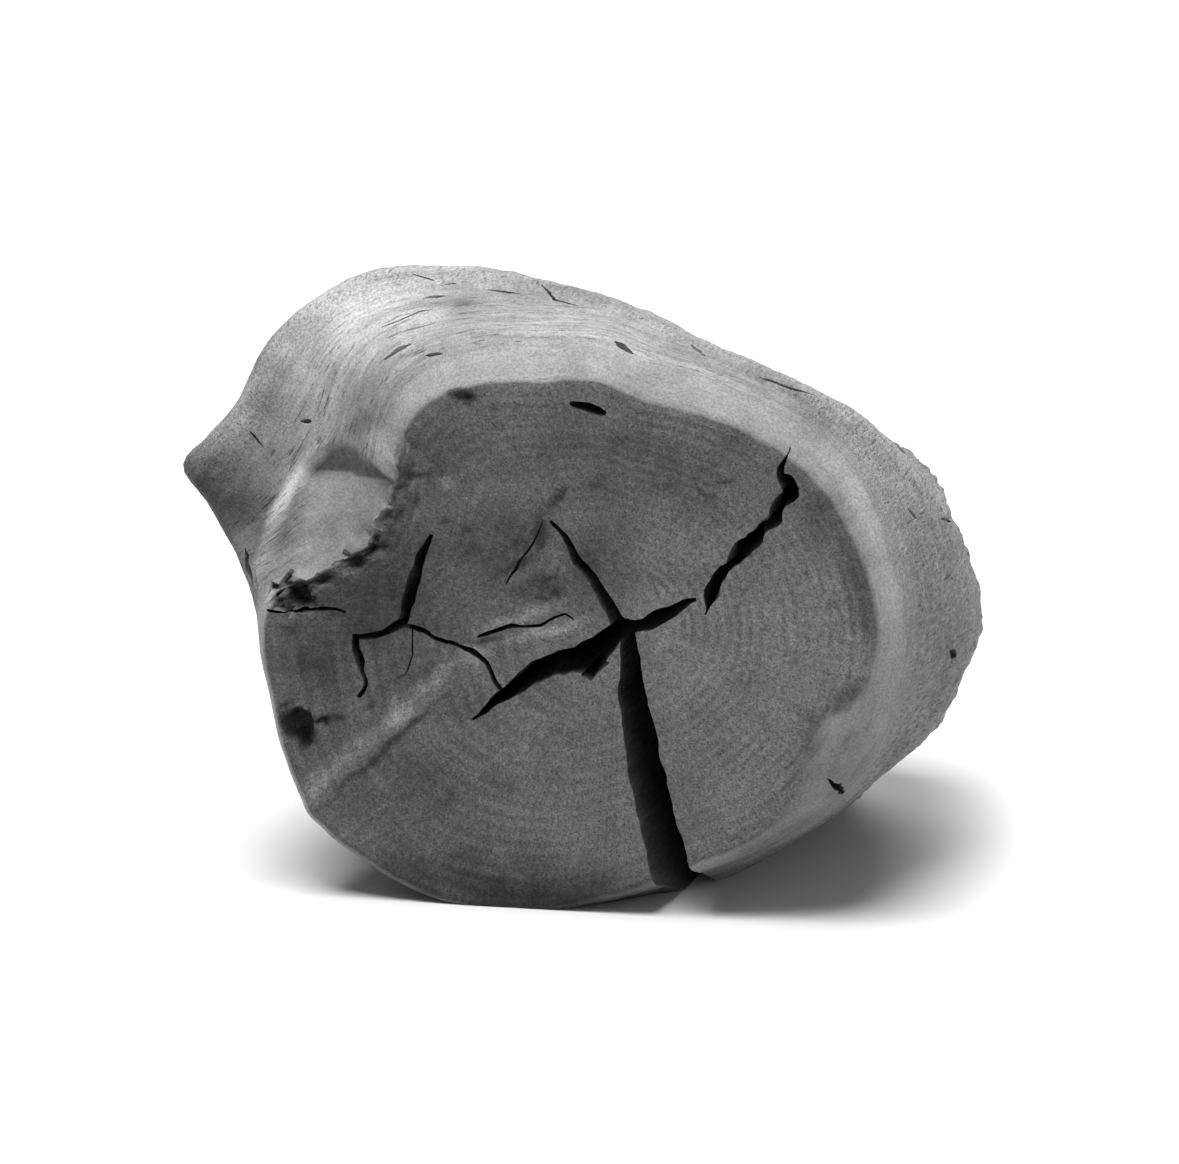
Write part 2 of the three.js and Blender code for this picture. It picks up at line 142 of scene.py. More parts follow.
# The star of cracks in the front end and the thin ones beside it: depth, raggedness, then [x, z, width]
# along each one.
FRONT_CRACKS = [
    [44, 1.0, [[0.9, -0.4, 1.7], [1.4, -7.8, 2.9], [2.7, -14.9, 3.8], [3.9, -20.5, 4.2],
               [5.5, -26.5, 4.3], [7.4, -37.5, 4.8]]],
    [11, 0.8, [[0.6, -0.6, 1.6], [-2.1, 3.5, 1.3], [-4.3, 6.6, 1.1], [-6.0, 9.1, 0.7],
               [-7.6, 10.7, 0.3]]],
    [16, 1.0, [[0.9, 0.2, 1.7], [-2.4, -3.0, 3.0], [-4.4, -4.4, 2.9], [-7.5, -5.0, 2.4],
               [-10.3, -6.8, 2.0], [-12.4, -8.5, 1.4], [-14.9, -10.5, 0.7], [-16.2, -11.5, 0.3]]],
    [6, 0.5, [[-2.4, -3.6, 2.8], [-3.7, -6.2, 1.1]]],
    [10, 1.2, [[-0.4, -0.2, 1.3], [3.2, 0.3, 1.5], [5.3, 1.4, 1.3], [7.1, 2.5, 1.0],
               [8.4, 2.9, 0.4]]],
    [9, 2.2, [[9.0, 1.8, 0.5], [10.0, 3.7, 1.2], [10.4, 5.3, 1.5], [12.0, 7.0, 1.2], [13.0, 8.6, 1.8],
              [14.5, 9.7, 1.6], [15.6, 11.2, 1.1], [17.0, 12.8, 1.3], [18.2, 14.8, 1.6],
              [17.6, 16.8, 1.0], [17.9, 18.4, 0.7], [18.1, 19.8, 0.2]]],
    [6, 1.2, [[-20.2, 8.7, 0.4], [-22.0, 5.3, 1.0], [-23.1, 1.7, 1.6], [-23.9, -1.7, 1.2]]],
    [5, 1.2, [[-23.4, -1.0, 1.0], [-25.9, -2.4, 0.7], [-29.1, -3.2, 0.6]]],
    [5, 1.6, [[-28.9, -2.8, 0.7], [-28.6, -4.6, 0.8], [-28.0, -6.6, 0.8], [-27.7, -8.2, 0.7],
              [-28.5, -10.2, 0.35]]],
    [5, 1.2, [[-24.0, -1.4, 0.8], [-21.0, -2.3, 0.6], [-18.1, -3.2, 0.6], [-16.0, -3.9, 0.6],
              [-14.4, -5.1, 0.6], [-13.4, -6.8, 0.5], [-12.5, -8.3, 0.5]]],
    [3, 3.0, [[-38.6, -0.8, 0.35], [-35.2, -0.9, 0.6], [-33.0, -0.9, 0.25], [-31.2, -0.5, 0.35],
              [-29.8, -0.4, 0.15]]],
    [3, 0.6, [[-5.4, 23.7, 0.3], [-4.9, 23.6, 0.8], [-3.4, 23.3, 1.1], [-2.0, 22.9, 0.9],
              [-1.5, 22.8, 0.4]]],
    [1.5, 0.8, [[-15.3, -2.4, 0.2], [-14.0, -1.8, 0.5], [-11.8, -1.0, 0.5], [-10.5, -1.0, 0.25],
                [-8.7, -0.7, 0.35], [-7.2, 0.1, 0.25], [-5.9, 0.7, 0.25], [-5.0, 0.1, 0.15]]],
    [0.8, 1.8, [[-7.9, 10.8, 0.08], [-9.4, 8.0, 0.14], [-10.9, 5.3, 0.24], [-12.4, 3.4, 0.1]]],
    [1.2, 0.8, [[-22.8, -1.9, 0.2], [-22.6, -4.8, 0.25], [-23.6, -7.2, 0.2]]],
]

# Drying cracks along the barrel: angle, first and last depth, width and how deep they cut.
BARREL_CRACKS = [
    [206, 14, 62, 2.2, 7], [22, 33, 66, 1.8, 6], [104, 38, 69, 2.2, 7],
    [336, 38, 63, 1.4, 4], [158, 30, 56, 1.6, 5], [242, 26, 58, 1.4, 4],
]
# Short checks in the barrel: width, how deep they cut, then [angle, depth] along each one. Those that
# cut deeper than DEEP_CHECK get the crack walls' tone, which is soot and painted shade together.
DEEP_CHECK = 1.1
SHORT_CHECKS = [
    [0.50, 0.7, [[127.6, 13.4], [124.5, 13.7]]],
    [0.55, 0.8, [[135.9, 5.8], [130.5, 5.8]]],
    [0.42, 0.7, [[134.4, 9.5], [131.6, 9.8], [128.4, 10.8], [126.6, 11.0]]],
    [0.40, 0.6, [[129.0, 17.9], [126.3, 16.8]]],
    [0.60, 0.8, [[125.0, 16.2], [123.4, 16.4]]],
    [0.40, 0.6, [[118.7, 15.0], [113.2, 14.4]]],
    [0.42, 0.8, [[111.0, 18.0], [107.6, 14.0], [103.1, 13.2]]],
    [0.65, 1.0, [[92.6, 3.9], [88.4, 3.2]]],
    [0.60, 0.9, [[79.5, 11.9], [75.0, 9.2]]],
    [0.60, 1.0, [[62.6, 10.0], [56.1, 10.9], [51.0, 14.4]]],
    [0.55, 0.8, [[153.8, 8.9], [152.7, 8.5]]],
    [0.45, 0.7, [[158.9, 10.2], [159.9, 9.3]]],
    [0.35, 0.6, [[129.2, 3.9], [125.8, 3.4]]],
    [0.60, 0.9, [[20.9, 12.8], [17.6, 14.7]]],
    [0.50, 0.8, [[14.1, 21.9], [11.6, 26.5]]],
    [0.90, 1.2, [[349.2, 19.0], [347.6, 21.2]]],
    [0.75, 1.3, [[174.0, 6.2], [179.0, 3.9]]],
    [0.45, 0.9, [[175.6, 4.8], [180.2, 2.4]]],
    [1.20, 3.2, [[324.6, 0.5], [322.6, 3.0], [320.2, 7.0]]],
]
# Cracks of the snapped back end: angle, inner and outer distance, width and depth.
BACK_CRACKS = [[104, 1, 19, 2.2, 12], [206, 2, 33, 2.2, 10], [300, 1, 24, 1.8, 9], [22, 2, 19, 1.8, 9]]

# Where the edge of the front end has crumbled away: x, z, size across and up, and how deep.
CRUMBLED = [
    [-35.6, 0.9, 2.4, 1.7, 3.0], [-37.2, 0.1, 1.3, 0.9, 1.2], [-32.6, 2.9, 1.6, 0.6, 0.8],
    [-35.7, -13.1, 2.1, 1.9, 2.6], [-34.8, -15.1, 1.1, 1.3, 1.6], [-33.0, -12.7, 1.2, 0.5, 0.9],
    [-36.6, -11.3, 0.9, 0.6, 1.2], [-28.6, 5.2, 1.5, 0.8, 0.8], [-27.1, 7.8, 1.0, 0.7, 0.6],
    [-17.0, 23.8, 1.5, 0.8, 0.7],
]
# The break between the end and the bevel is rough from this angle to that. The end next to it is
# chipped away in a band that wide and that deep.
ROUGH_BREAK = {"first": 141, "last": 176, "jag": 0.4, "band": 4.5, "deep": 0.6}
# The facet split off the bevel on the left. Its upper end is a step that faces down: the middle, half
# length and tilt of the step's foot, how high the step is, how far the facet runs down from it, and how
# deep it lies at the foot.
FACET = {"foot": (-30.0, 13.5), "half_length": 6.2, "tilt": 3, "step": 3.4, "down": 13, "deep": 1.6}

# Sooty places with painted shade among them, and ashy places with painted highlights among them, as seen
# from the front: x, z, half length, half height, tilt and strength.
# Some of these are painted shade: the broad darkening of the end's left half, the dark band along its
# bottom edge, the dark band inside its right edge, the dark beside the wedge-shaped crack on the left, and
# the thin dark line under the ledge. The darkest ones in the crumbled places are soot and painted shade
# together.
SOOT_AND_PAINTED_SHADE = [
    [2, 18, 22, 7, 0, 0.40], [-27, 2, 12, 13, 15, 0.76], [-13, 7, 9, 6, 30, 0.66],
    [-25, -20, 13, 8, -35, 0.45], [-9, -31, 22, 4.5, -7, 0.85], [-35.6, 0.7, 2.3, 1.5, 8, 1.0],
    [-37.3, 0.4, 1.4, 1.1, 10, 0.95], [-31, -0.4, 1.8, 0.8, 8, 0.8], [-36, -2.8, 1.3, 0.7, 0, 0.85],
    [-32.6, 2.9, 1.7, 0.6, 22, 0.9], [-29.5, 1.9, 0.5, 2.2, 0, 0.85], [-28.6, 5.0, 1.3, 0.7, 40, 0.95],
    [-27, 7.7, 1.0, 0.5, 50, 0.95], [-25.1, 10.6, 0.6, 1.3, -10, 0.85], [-24.8, 2.5, 1.3, 3.6, -12, 0.85],
    [-35.7, -13, 1.9, 1.7, 0, 1.0], [-34.8, -15, 1.1, 1.2, 0, 0.95], [-32.9, -12.7, 1.4, 0.5, 10, 0.95],
    [-36.6, -11.3, 1.0, 0.6, 0, 0.95], [-31.4, -12.2, 1.8, 0.5, 12, 0.95], [-24, -7.4, 0.9, 0.4, 40, 0.85],
    [-27.3, -10.8, 1.0, 0.4, 40, 0.80], [-22, 14.9, 2.7, 0.6, 12, 0.90], [-24.3, 12.6, 0.7, 0.8, 0, 0.80],
    [-18.8, 10.2, 0.9, 0.5, 0, 0.75], [-16.4, 9.5, 0.8, 0.45, 20, 0.80], [-17.6, 5.5, 0.5, 0.7, 0, 0.75],
    [-17, 23.6, 1.6, 0.8, 8, 0.95], [-13.3, 22.9, 0.4, 0.4, 0, 0.80], [0.2, 20, 1.5, 0.5, -5, 0.85],
    [-2.4, 15.1, 1.3, 0.6, 0, 0.80], [-7, 13.2, 2.4, 0.6, 48, 0.90], [-8.6, 9.6, 1.0, 2.4, 0, 0.90],
    [-11.2, 5.8, 3.0, 0.6, 35, 0.88], [11.4, 16, 1.5, 0.5, 8, 0.75], [9.2, 14.4, 2.2, 0.4, -38, 0.75],
    [-14.6, -2.6, 2.0, 0.6, 12, 0.80], [-4.8, 26.9, 2.0, 1.0, 0, 0.35], [-19, -20.6, 1.8, 1.3, 40, 0.55],
    [-13.3, -18.6, 2.4, 1.7, -30, 0.55], [22.5, 13, 2.8, 4.2, 30, 0.62], [25.6, 6, 1.6, 7.0, 16, 0.52],
    [-3.5, 6, 4.0, 5.5, 0, 0.74], [-8.5, 3.6, 5.0, 2.4, 12, 0.76], [-19, 17, 6, 5, 0, 0.55],
    [-32.5, -6.5, 6, 5, 0, 0.72], [-29.6, 18.9, 5.5, 1.3, 35, 0.46],
    [14, 19.6, 6, 1.5, -30, 0.30], [24.5, -7, 3.2, 1.1, 38, 0.50], [21, -11.6, 1.2, 2.8, -15, 0.45],
    [24.8, -11.4, 0.8, 1.8, -25, 0.45], [-25.6, -15.1, 10, 0.45, 43, 0.85],
    [-6.8, 3.1, 0.9, 0.7, 0, 1.0], [-7.6, 4.5, 1.2, 0.5, 20, 0.95], [-8.4, 2.3, 1.1, 0.5, 10, 0.9],
]
# Some of these are painted light: the long thin ones along the ledge are a painted highlight where its
# ramp faces upwards, and the broad faint one on the right of the end brightens it as painted light.
ASH_AND_PAINTED_HIGHLIGHT = [
    [-16, -4.3, 1.6, 1.0, -10, 1.0], [-24.5, -11.2, 2.2, 1.1, 45, 1.0], [-29.7, -16, 3.4, 0.9, 43, 1.0],
    [-20.4, -7.4, 4.0, 0.8, 43, 0.95], [-33.5, -19.5, 2.8, 1.2, 43, 0.75],
    [-11.3, -0.2, 4.4, 0.6, 23, 0.80], [-7.6, -1.2, 5.4, 0.6, 17, 0.85],
    [15, -3, 11, 11, 0, 0.22], [-26.7, 17.6, 2.2, 1.2, -35, 0.55], [-18.7, 14.3, 0.9, 0.8, 0, 0.90],
    [-16, 16.2, 3.0, 0.7, 25, 0.25], [-20.5, -3.6, 3.2, 0.5, -18, 0.25],
]
# The same on the barrel: angle, depth, how far each spreads, and strength.
# Some of these are painted shade: the spur's underside and the side below it, at 169 and 184 degrees, and
# the lower right of the front edge, at 306 and 326 degrees.
BARREL_SOOT_AND_PAINTED_SHADE = [
    [169, 9.5, 8, 8, 0.82], [184, 9, 10, 12, 0.66], [121.5, 12, 5, 2.4, 0.60], [112, 17, 10, 4, 0.35],
    [150, 15, 4, 3, 0.55], [106, 8.5, 6, 1.2, 0.35], [205, 30, 30, 24, 0.30], [60, 9, 30, 7, 0.60],
    [345, 16, 30, 14, 0.36], [326, 2, 15, 5, 0.40], [154, 10.5, 5, 1.5, 0.45], [104, 16, 22, 6, 0.45],
    [123, 15.2, 3.5, 0.5, 0.72], [118, 10.4, 2.5, 0.5, 0.55], [108, 16.4, 3.5, 0.5, 0.78],
    [102, 15.0, 2.2, 0.4, 0.72], [93, 12.7, 3, 0.6, 0.62], [84, 11, 3.5, 0.8, 0.55],
    [150, 11.6, 2.0, 2.2, 0.50], [128, 12.2, 1.8, 0.4, 0.55], [306, 2.5, 13, 4, 0.50],
]
# The narrow bands just behind the front edge, at 18, 85 and 196 degrees, are painted highlights along the
# rim.
BARREL_ASH_AND_PAINTED_HIGHLIGHT = [
    [136, 11.5, 9, 7, 0.80], [150, 11, 8, 5, 0.60], [163, 4, 9, 4, 0.20], [196, 0.9, 26, 1.1, 0.60],
    [85, 2.5, 40, 2.0, 0.20], [18, 1.8, 26, 1.2, 0.35],
]
# The ridge where the facet meets the barrel: middle angle, spread, half width, how strong the painted
# highlight along it is, how much less it is rounded, and how far it stands out.
RIDGE = {"angle": 162, "spread": 14, "half_width": 0.6, "painted_highlight": 0.65, "crisper": 1.6, "height": 0.4}

# Tones, as the share of light that they send back.
SAWN_TONE = 0.084
BARREL_TONE = 0.134
SMOOTH_STRIP_TONE = 0.170
# The crack walls' tone is near-black partly from soot and partly as painted shade inside the cracks.
CRACK_TONE = 0.022
FLOOR_TONE = 0.5


def fine_noise(points, size, seed):
    """Smooth noise from -1 to 1 at each point. Every corner of a grid with cells of that size gets a
    fixed pseudo-random number, mixed from its whole-number place by multiplying and shifting, and the
    numbers are blended between corners with an S-shaped weight."""
    cell = np.asarray(points, float) / size
    base = np.floor(cell)
    part = cell - base
    weight = part * part * (3 - 2 * part)
    corner = base.astype(np.int64)
    total = np.zeros(cell.shape[:-1])
    for dx in (0, 1):
        for dy in (0, 1):
            for dz in (0, 1):
                mixed = (corner[..., 0] + dx) * 73856093 ^ (corner[..., 1] + dy) * 19349663
                mixed = (mixed ^ (corner[..., 2] + dz) * 83492791) + seed * 9781
                mixed = mixed & 0xFFFFFFFF
                mixed = ((mixed ^ (mixed >> 15)) * 2246822519) & 0xFFFFFFFF
                mixed = ((mixed ^ (mixed >> 13)) * 3266489917) & 0xFFFFFFFF
                value = (mixed ^ (mixed >> 16)) / 0xFFFFFFFF
                share = (
                    (weight[..., 0] if dx else 1 - weight[..., 0])
                    * (weight[..., 1] if dy else 1 - weight[..., 1])
                    * (weight[..., 2] if dz else 1 - weight[..., 2])
                )
                total += share * value
    return total * 2 - 1


def rough_noise(points, size, seed, octaves=3):
    """Three layers of smooth noise, each half as large and half as strong as the one before."""
    return sum(fine_noise(points, size / 2**k, seed + k) / 2**k for k in range(octaves))


def ease(value, low, high):
    """0 below low, 1 above high, and an S-shaped rise between them."""
    t = np.clip((np.asarray(value, float) - low) / (high - low), 0, 1)
    return t * t * (3 - 2 * t)


def turn(a, b):
    """The signed difference between two angles in degrees, from -180 to 180."""
    return (np.asarray(a, float) - b + 180) % 360 - 180


def bell(angle, middle, spread):
    """A bell-shaped bump round one angle, 1 at its middle."""
    return np.exp(-((turn(angle, middle) / spread) ** 2))


def along(outline, angle, column=1):
    """One column of a closed outline at any angles: a cubic through its points, whose slope at each
    point is that from the point before it to the point after it."""
    table = np.array(outline, float)
    knots = np.concatenate([table[-2:, 0] - 360, table[:, 0], table[:3, 0] + 360])
    values = np.concatenate([table[-2:, column], table[:, column], table[:3, column]])
    slopes = np.zeros_like(values)
    slopes[1:-1] = (values[2:] - values[:-2]) / (knots[2:] - knots[:-2])
    angle = np.asarray(angle, float) % 360
    i = np.searchsorted(knots, angle, side="right") - 1
    span = knots[i + 1] - knots[i]
    t = (angle - knots[i]) / span
    return (
        (2 * t**3 - 3 * t**2 + 1) * values[i]
        + (t**3 - 2 * t**2 + t) * slopes[i] * span
        + (3 * t**2 - 2 * t**3) * values[i + 1]
        + (t**3 - t**2) * slopes[i + 1] * span
    )


def profile_corners(angle):
    """The corners of the lengthwise profile at each angle, as [distance from the pith, depth]."""
    edge = along(FRONT_EDGE, angle)
    rim = along(RIM, angle)
    level = np.ones_like(edge)
    corners = [
        [0.25 * level, -FRONT_DOME * level],
        [edge, 0 * level],
        [edge + along(BEVEL, angle, 1), along(BEVEL, angle, 2)],
        [along(SHOULDER, angle, 1), along(SHOULDER, angle, 2)],
        [along(WAIST, angle), WAIST_DEPTH * level],
        [along(HIP, angle), HIP_DEPTH * level],
        [rim, RIM_DEPTH * level],
    ]
    a = np.radians(angle)
    slant = BACK_SLANT["rise"] * np.cos(np.radians(angle - BACK_SLANT["angle"])) / 25
    depth = RIM_DEPTH + 0.6 + 0 * level
    for middle, spread, offset in BACK_QUARTERS:
        depth = depth + np.where(np.abs(turn(angle, middle)) < spread, offset, 0)
    for share, phase, rise in BACK_STEPS:
        waver = 0.06 * np.cos(2 * a + phase) + 0.04 * np.cos(5 * a + 2 * phase) + 0.025 * np.cos(13 * a)
        radius = rim * (share + waver)
        corners.append([radius + 0.4, depth + slant * radius])
        corners.append([radius - 0.4, depth + rise + slant * radius])
        depth = depth + rise
    corners.append([0.25 * level, BACK_POLE_DEPTH * level])
    return [np.stack(corner, axis=-1) for corner in corners]


def beside(corner, neighbour, distance):
    """The point that distance from a corner towards its neighbour, at most 45 % of the way."""
    gap = np.linalg.norm(neighbour - corner, axis=-1)
    share = np.minimum(distance / gap, 0.45)[..., None]
    return corner + (neighbour - corner) * share


def profile_rows(angle):
    """The profile at each angle: straight stretches between corners that are rounded by quadratic
    curves. Returns an array [row, angle, (distance, depth)]."""
    q = profile_corners(angle)
    rim = len(CORNER_ROUNDING)
    rows = [q[0]]
    for k in range(1, len(q)):
        rounding = CORNER_ROUNDING[k - 1] * np.ones_like(angle) if k <= rim else None
        if k == 1:
            rounding = rounding + SOFT_EDGE["extra"] * bell(angle, SOFT_EDGE["angle"], SOFT_EDGE["spread"])
        if k == 2:
            rounding = rounding - RIDGE["crisper"] * bell(angle, RIDGE["angle"], RIDGE["spread"])
        start = rows[-1]
        end = q[k] if rounding is None else beside(q[k], q[k - 1], rounding)
        count = STRAIGHT_ROWS[k - 1] if k <= rim else STEP_ROWS
        rows += [start + (end - start) * i / count for i in range(1, count + 1)]
        if rounding is None:
            continue
        leave = beside(q[k], q[k + 1], rounding)
        count = CORNER_ROWS[k - 1]
        for t in np.arange(1, count + 1) / count:
            rows.append((1 - t) ** 2 * end + 2 * t * (1 - t) * q[k] + t**2 * leave)
    return np.stack(rows)


def flutes_and_knot(angle, depth):
    """How far the barrel swells: scalloped flutes along the grain behind the shoulder, and the knot,
    a bell-shaped swelling with a hole at its middle."""
    a = np.radians(angle)
    wave = FLUTES["pairs"] * a + 0.9 * np.sin(2 * a + 1) + 0.012 * depth
    strength = ease(depth, *FLUTES["begin"]) * (1 - ease(depth, *FLUTES["end"]))
    swell = FLUTES["height"] * (np.abs(np.cos(wave)) - 0.6) * strength
    lengthwise = np.exp(-(((depth - KNOT["depth"]) / KNOT["length"]) ** 2))
    swell = swell + KNOT["height"] * bell(angle, KNOT["angle"], KNOT["spread"]) * lengthwise
    across = np.radians(turn(angle, KNOT["angle"])) * KNOT["from_pith"]
    middle = np.hypot(across, (depth - KNOT["depth"]) / 1.4)
    return swell - KNOT["hole_depth"] * (1 - ease(middle, 1.2, KNOT["hole"] + 0.2))


def wavering_ledge(x, z):
    """How deep the wood above the ledge is split off: nothing below the foot of the ramp, the full
    height at its top, and then less and less with distance. The line of the ledge wavers a little."""
    start, end = np.array(LEDGE["start"]), np.array(LEDGE["end"])
    length = np.linalg.norm(end - start)
    ahead = (end - start) / length
    t = ((x - start[0]) * ahead[0] + (z - start[1]) * ahead[1]) / length
    side = (z - start[1]) * ahead[0] - (x - start[0]) * ahead[1]
    spot = np.stack([x, 0 * x, z], axis=-1)
    side = side + 0.35 * rough_noise(spot, 5, 31)
    ramp = np.clip(side / LEDGE["ramp"], 0, 1)
    fall = np.clip((LEDGE["reach"] - side) / (LEDGE["reach"] - LEDGE["ramp"]), 0, 1)
    share = 1 - ease(t, 0.6, 1.0)
    return LEDGE["height"] * np.minimum(ramp, fall) * share


def crumbling(x, z):
    """How deep the edge of the front end has crumbled: a ragged bowl at each crumbled place."""
    spot = np.stack([x, 0 * x, z], axis=-1)
    ragged = 0.45 * rough_noise(spot, 1.6, 41)
    depth = np.zeros_like(x)
    for cx, cz, wide, high, deep in CRUMBLED:
        far = np.hypot((x - cx) / wide, (z - cz) / high)
        depth = np.maximum(depth, deep * (1 - ease(far + ragged, 0.45, 1.15)))
    return depth


def facet_and_step(x, z):
    """How deep the split-off facet lies at each point, from 0 to 1, and how much the point is on its step.
    The facet is deepest at the foot of the step and rises evenly downwards. The step rises upwards and
    is highest a little left of its middle. Both fade out towards their two ends."""
    tilt = math.radians(FACET["tilt"])
    ahead = (x - FACET["foot"][0]) * math.cos(tilt) + (z - FACET["foot"][1]) * math.sin(tilt)
    above = (z - FACET["foot"][1]) * math.cos(tilt) - (x - FACET["foot"][0]) * math.sin(tilt)
    above = above + 0.3 * rough_noise(np.stack([x, 0 * x, z], axis=-1), 2.6, 43, 3)
    ends = 1 - ease(np.abs(ahead) / FACET["half_length"], 0.75, 1.12)
    high = FACET["step"] * (1 - 0.85 * np.clip(np.abs(ahead + 1.2) / FACET["half_length"], 0, 1) ** 1.6)
    below = np.clip(1 + above / FACET["down"], 0, 1)
    share = ends * below * (1 - np.clip(above / high, 0, 1))
    return share, ends * ease(above, -0.15, 0.2) * (1 - ease(above / high, 0.7, 1.15))


def on_ridge(angle, beyond, depth):
    """1 along the ridge where the facet meets the barrel, which is the outer corner of the bevel, and 0
    away from it. The second value is how far beyond the front edge a point lies."""
    away = np.hypot(beyond - along(BEVEL, angle, 1), depth - along(BEVEL, angle, 2))
    width = RIDGE["half_width"]
    return bell(angle, RIDGE["angle"], RIDGE["spread"]) * (1 - ease(away, 0.8 * width, 2.4 * width))


def on_rough_break(angle):
    """1 where the edge between the end and the bevel is a rough break, and 0 elsewhere."""
    return ease(angle, ROUGH_BREAK["first"] - 6, ROUGH_BREAK["first"] + 4) * (
        1 - ease(angle, ROUGH_BREAK["last"] - 4, ROUGH_BREAK["last"] + 4))


def round_branch(angle, spacing, second):
    """Noise coordinates that close up round the branch: a circle for the angle, whose radius sets how
    fast the noise changes round it, and a second value, such as the way along the branch."""
    a = np.radians(angle)
    return np.stack([np.cos(a) * spacing, np.sin(a) * spacing, second + 0 * a], axis=-1)


def edge_stray(angle):
    """How far the front edge strays from its outline: a little everywhere, and in small sharp steps on
    the rough break."""
    uneven = 0.13 * rough_noise(round_branch(angle, 16, 0), 1, 53)
    jagged = ROUGH_BREAK["jag"] * rough_noise(round_branch(angle, 34, 0), 1, 59)
    return uneven + jagged * on_rough_break(angle)


def barrel_relief(angle, depth, spot):
    """How far the barrel's surface stands out. Near the front, fine ripples follow the growth layers
    round the branch. Behind the shoulder, fine ridges run along it, with narrow furrows between them
    where a wandering noise is near zero. The noise changes faster where the branch is thicker, so that
    the furrows lie about equally close there. Slow waves lie under everything."""
    behind = ease(depth, 12, 34) * (1 - 0.6 * bell(angle, 8, 46) * (1 - ease(depth, 26, 40)))
    layers = RELIEF["layers"] * rough_noise(round_branch(angle, 9, depth * 1.3), 1.6, 3)
    ridges = RELIEF["ridges"] * rough_noise(round_branch(angle, 34, depth * 0.16), 1.2, 7)
    ridges = ridges + RELIEF["fine_ridges"] * rough_noise(round_branch(angle, 70, depth * 0.4), 1.5, 9)
    spacing = 4 + 0.3 * along(WAIST, angle)
    wander = rough_noise(round_branch(angle, spacing, depth * 0.09), 1.5, 5)
    furrows = RELIEF["furrows"] * (1 - ease(np.abs(wander), 0, 0.15)) * ease(depth, 24, 36)
    slow = RELIEF["waves"] * rough_noise(spot, 14, 11, 2) + RELIEF["grain"] * fine_noise(spot, 1.3, 13)
    return layers * (1 - behind) + (ridges + furrows) * behind + slow


def end_relief(angle, radius, spot):
    """How far the front end's surface lies back: slow waves, fine saw tears, and chips in a band inside
    the rough break, deepest next to it."""
    inside = along(FRONT_EDGE, angle) - radius + 0.9 * fine_noise(spot, 2.4, 45)
    band = on_rough_break(angle) * ease(inside, 0, 0.7) * (1 - ease(inside, 1.2, ROUGH_BREAK["band"]))
    chips = ROUGH_BREAK["deep"] * np.maximum(1 + 1.1 * rough_noise(spot, 1.7, 47), 0)
    return 0.12 * rough_noise(spot, 9, 17) + 0.035 * fine_noise(spot, 1.1, 19) + chips * band


def splinters(angle, radius, spot):
    """How far the snapped back end's splinters stand back: ragged clumps and spokes from the pith."""
    flat = spot * [1, 0, 1]
    spokes = 0.4 * fine_noise(round_branch(angle, 14, radius * 0.25), 1, 29)
    return 0.55 * rough_noise(flat, 3.2, 23, 4) + spokes


def lump_surface():
    """The points of the lump's surface as an array [row, angle, xyz].

    The rows of the profile are turned round the pith. The barrel gets its flutes, its knot and its
    relief. The front end gets the ledge, the crumbled places and its own relief. The bevel gets its
    facet and the back end its splinters. What would lie under the worn flat is pressed up to it."""
    angle = (np.arange(POINTS_AROUND) + 0.5) * 360 / POINTS_AROUND
    rows = profile_rows(angle)
    radius, depth = rows[..., 0], rows[..., 1]
    angle = np.broadcast_to(angle, radius.shape)
    a = np.radians(angle)
    row = np.arange(len(rows))[:, None]
    front_end = row < 1 + STRAIGHT_ROWS[0]
    back_end = row > len(rows) - 1 - (2 * len(BACK_STEPS) + 1) * STEP_ROWS
    barrel = ~(front_end | back_end)

    radius = radius + np.where(barrel, flutes_and_knot(angle, depth), 0)
    beyond = radius - along(FRONT_EDGE, angle)
    radius = radius + edge_stray(angle) * (1 - ease(np.hypot(beyond, depth), 0.6, 2.2))
    radius = radius + RIDGE["height"] * on_ridge(angle, beyond, depth)
    x, z = radius * np.cos(a), radius * np.sin(a)
    lost = (wavering_ledge(x, z) + crumbling(x, z)) * (1 - ease(depth, 0.2, 5))
    facet = facet_and_step(x, z)[0]
    lost = lost + FACET["deep"] * facet * (1 - ease(depth, 7, 10)) * ease(beyond, -0.2, 1.0)
    depth = depth + lost
    spot = np.stack([x, depth, z], axis=-1)
    radius = radius + np.where(barrel, barrel_relief(angle, depth, spot), 0) * ease(depth, 0.6, 3)
    depth = depth + end_relief(angle, radius, spot) * (1 - ease(depth, 1.5, 4)) * ease(radius, 0, 2)
    depth = depth + np.where(back_end, splinters(angle, radius, spot), 0) * ease(radius, 0.3, 3)

    x = np.clip(radius * np.cos(a), LOW_CORNER[0] + 0.05, HIGH_CORNER[0] - 0.05)
    z = np.clip(radius * np.sin(a), LOW_CORNER[2], HIGH_CORNER[2])
    return np.stack([x, depth, z], axis=-1)


def place(points):
    """Millimetres from the pith to the frame's metres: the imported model's low and high corners fall on
    the corners of its box in the frame."""
    low, high = (np.array(corner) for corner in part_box("charcoal_lump"))
    return low + (np.asarray(points) - LOW_CORNER) * (high - low) / (HIGH_CORNER - LOW_CORNER)


def new_object(name, points, faces, materials, smooth=True):
    """A mesh object at the origin from arrays of points and faces."""
    mesh = bpy.data.meshes.new(name)
    mesh.from_pydata(points.reshape(-1, 3).tolist(), [], faces)
    for material in materials:
        mesh.materials.append(material)
    mesh.polygons.foreach_set("use_smooth", np.full(len(mesh.polygons), smooth))
    mesh.update()
    obj = bpy.data.objects.new(name, mesh)
    bpy.context.scene.collection.objects.link(obj)
    return obj


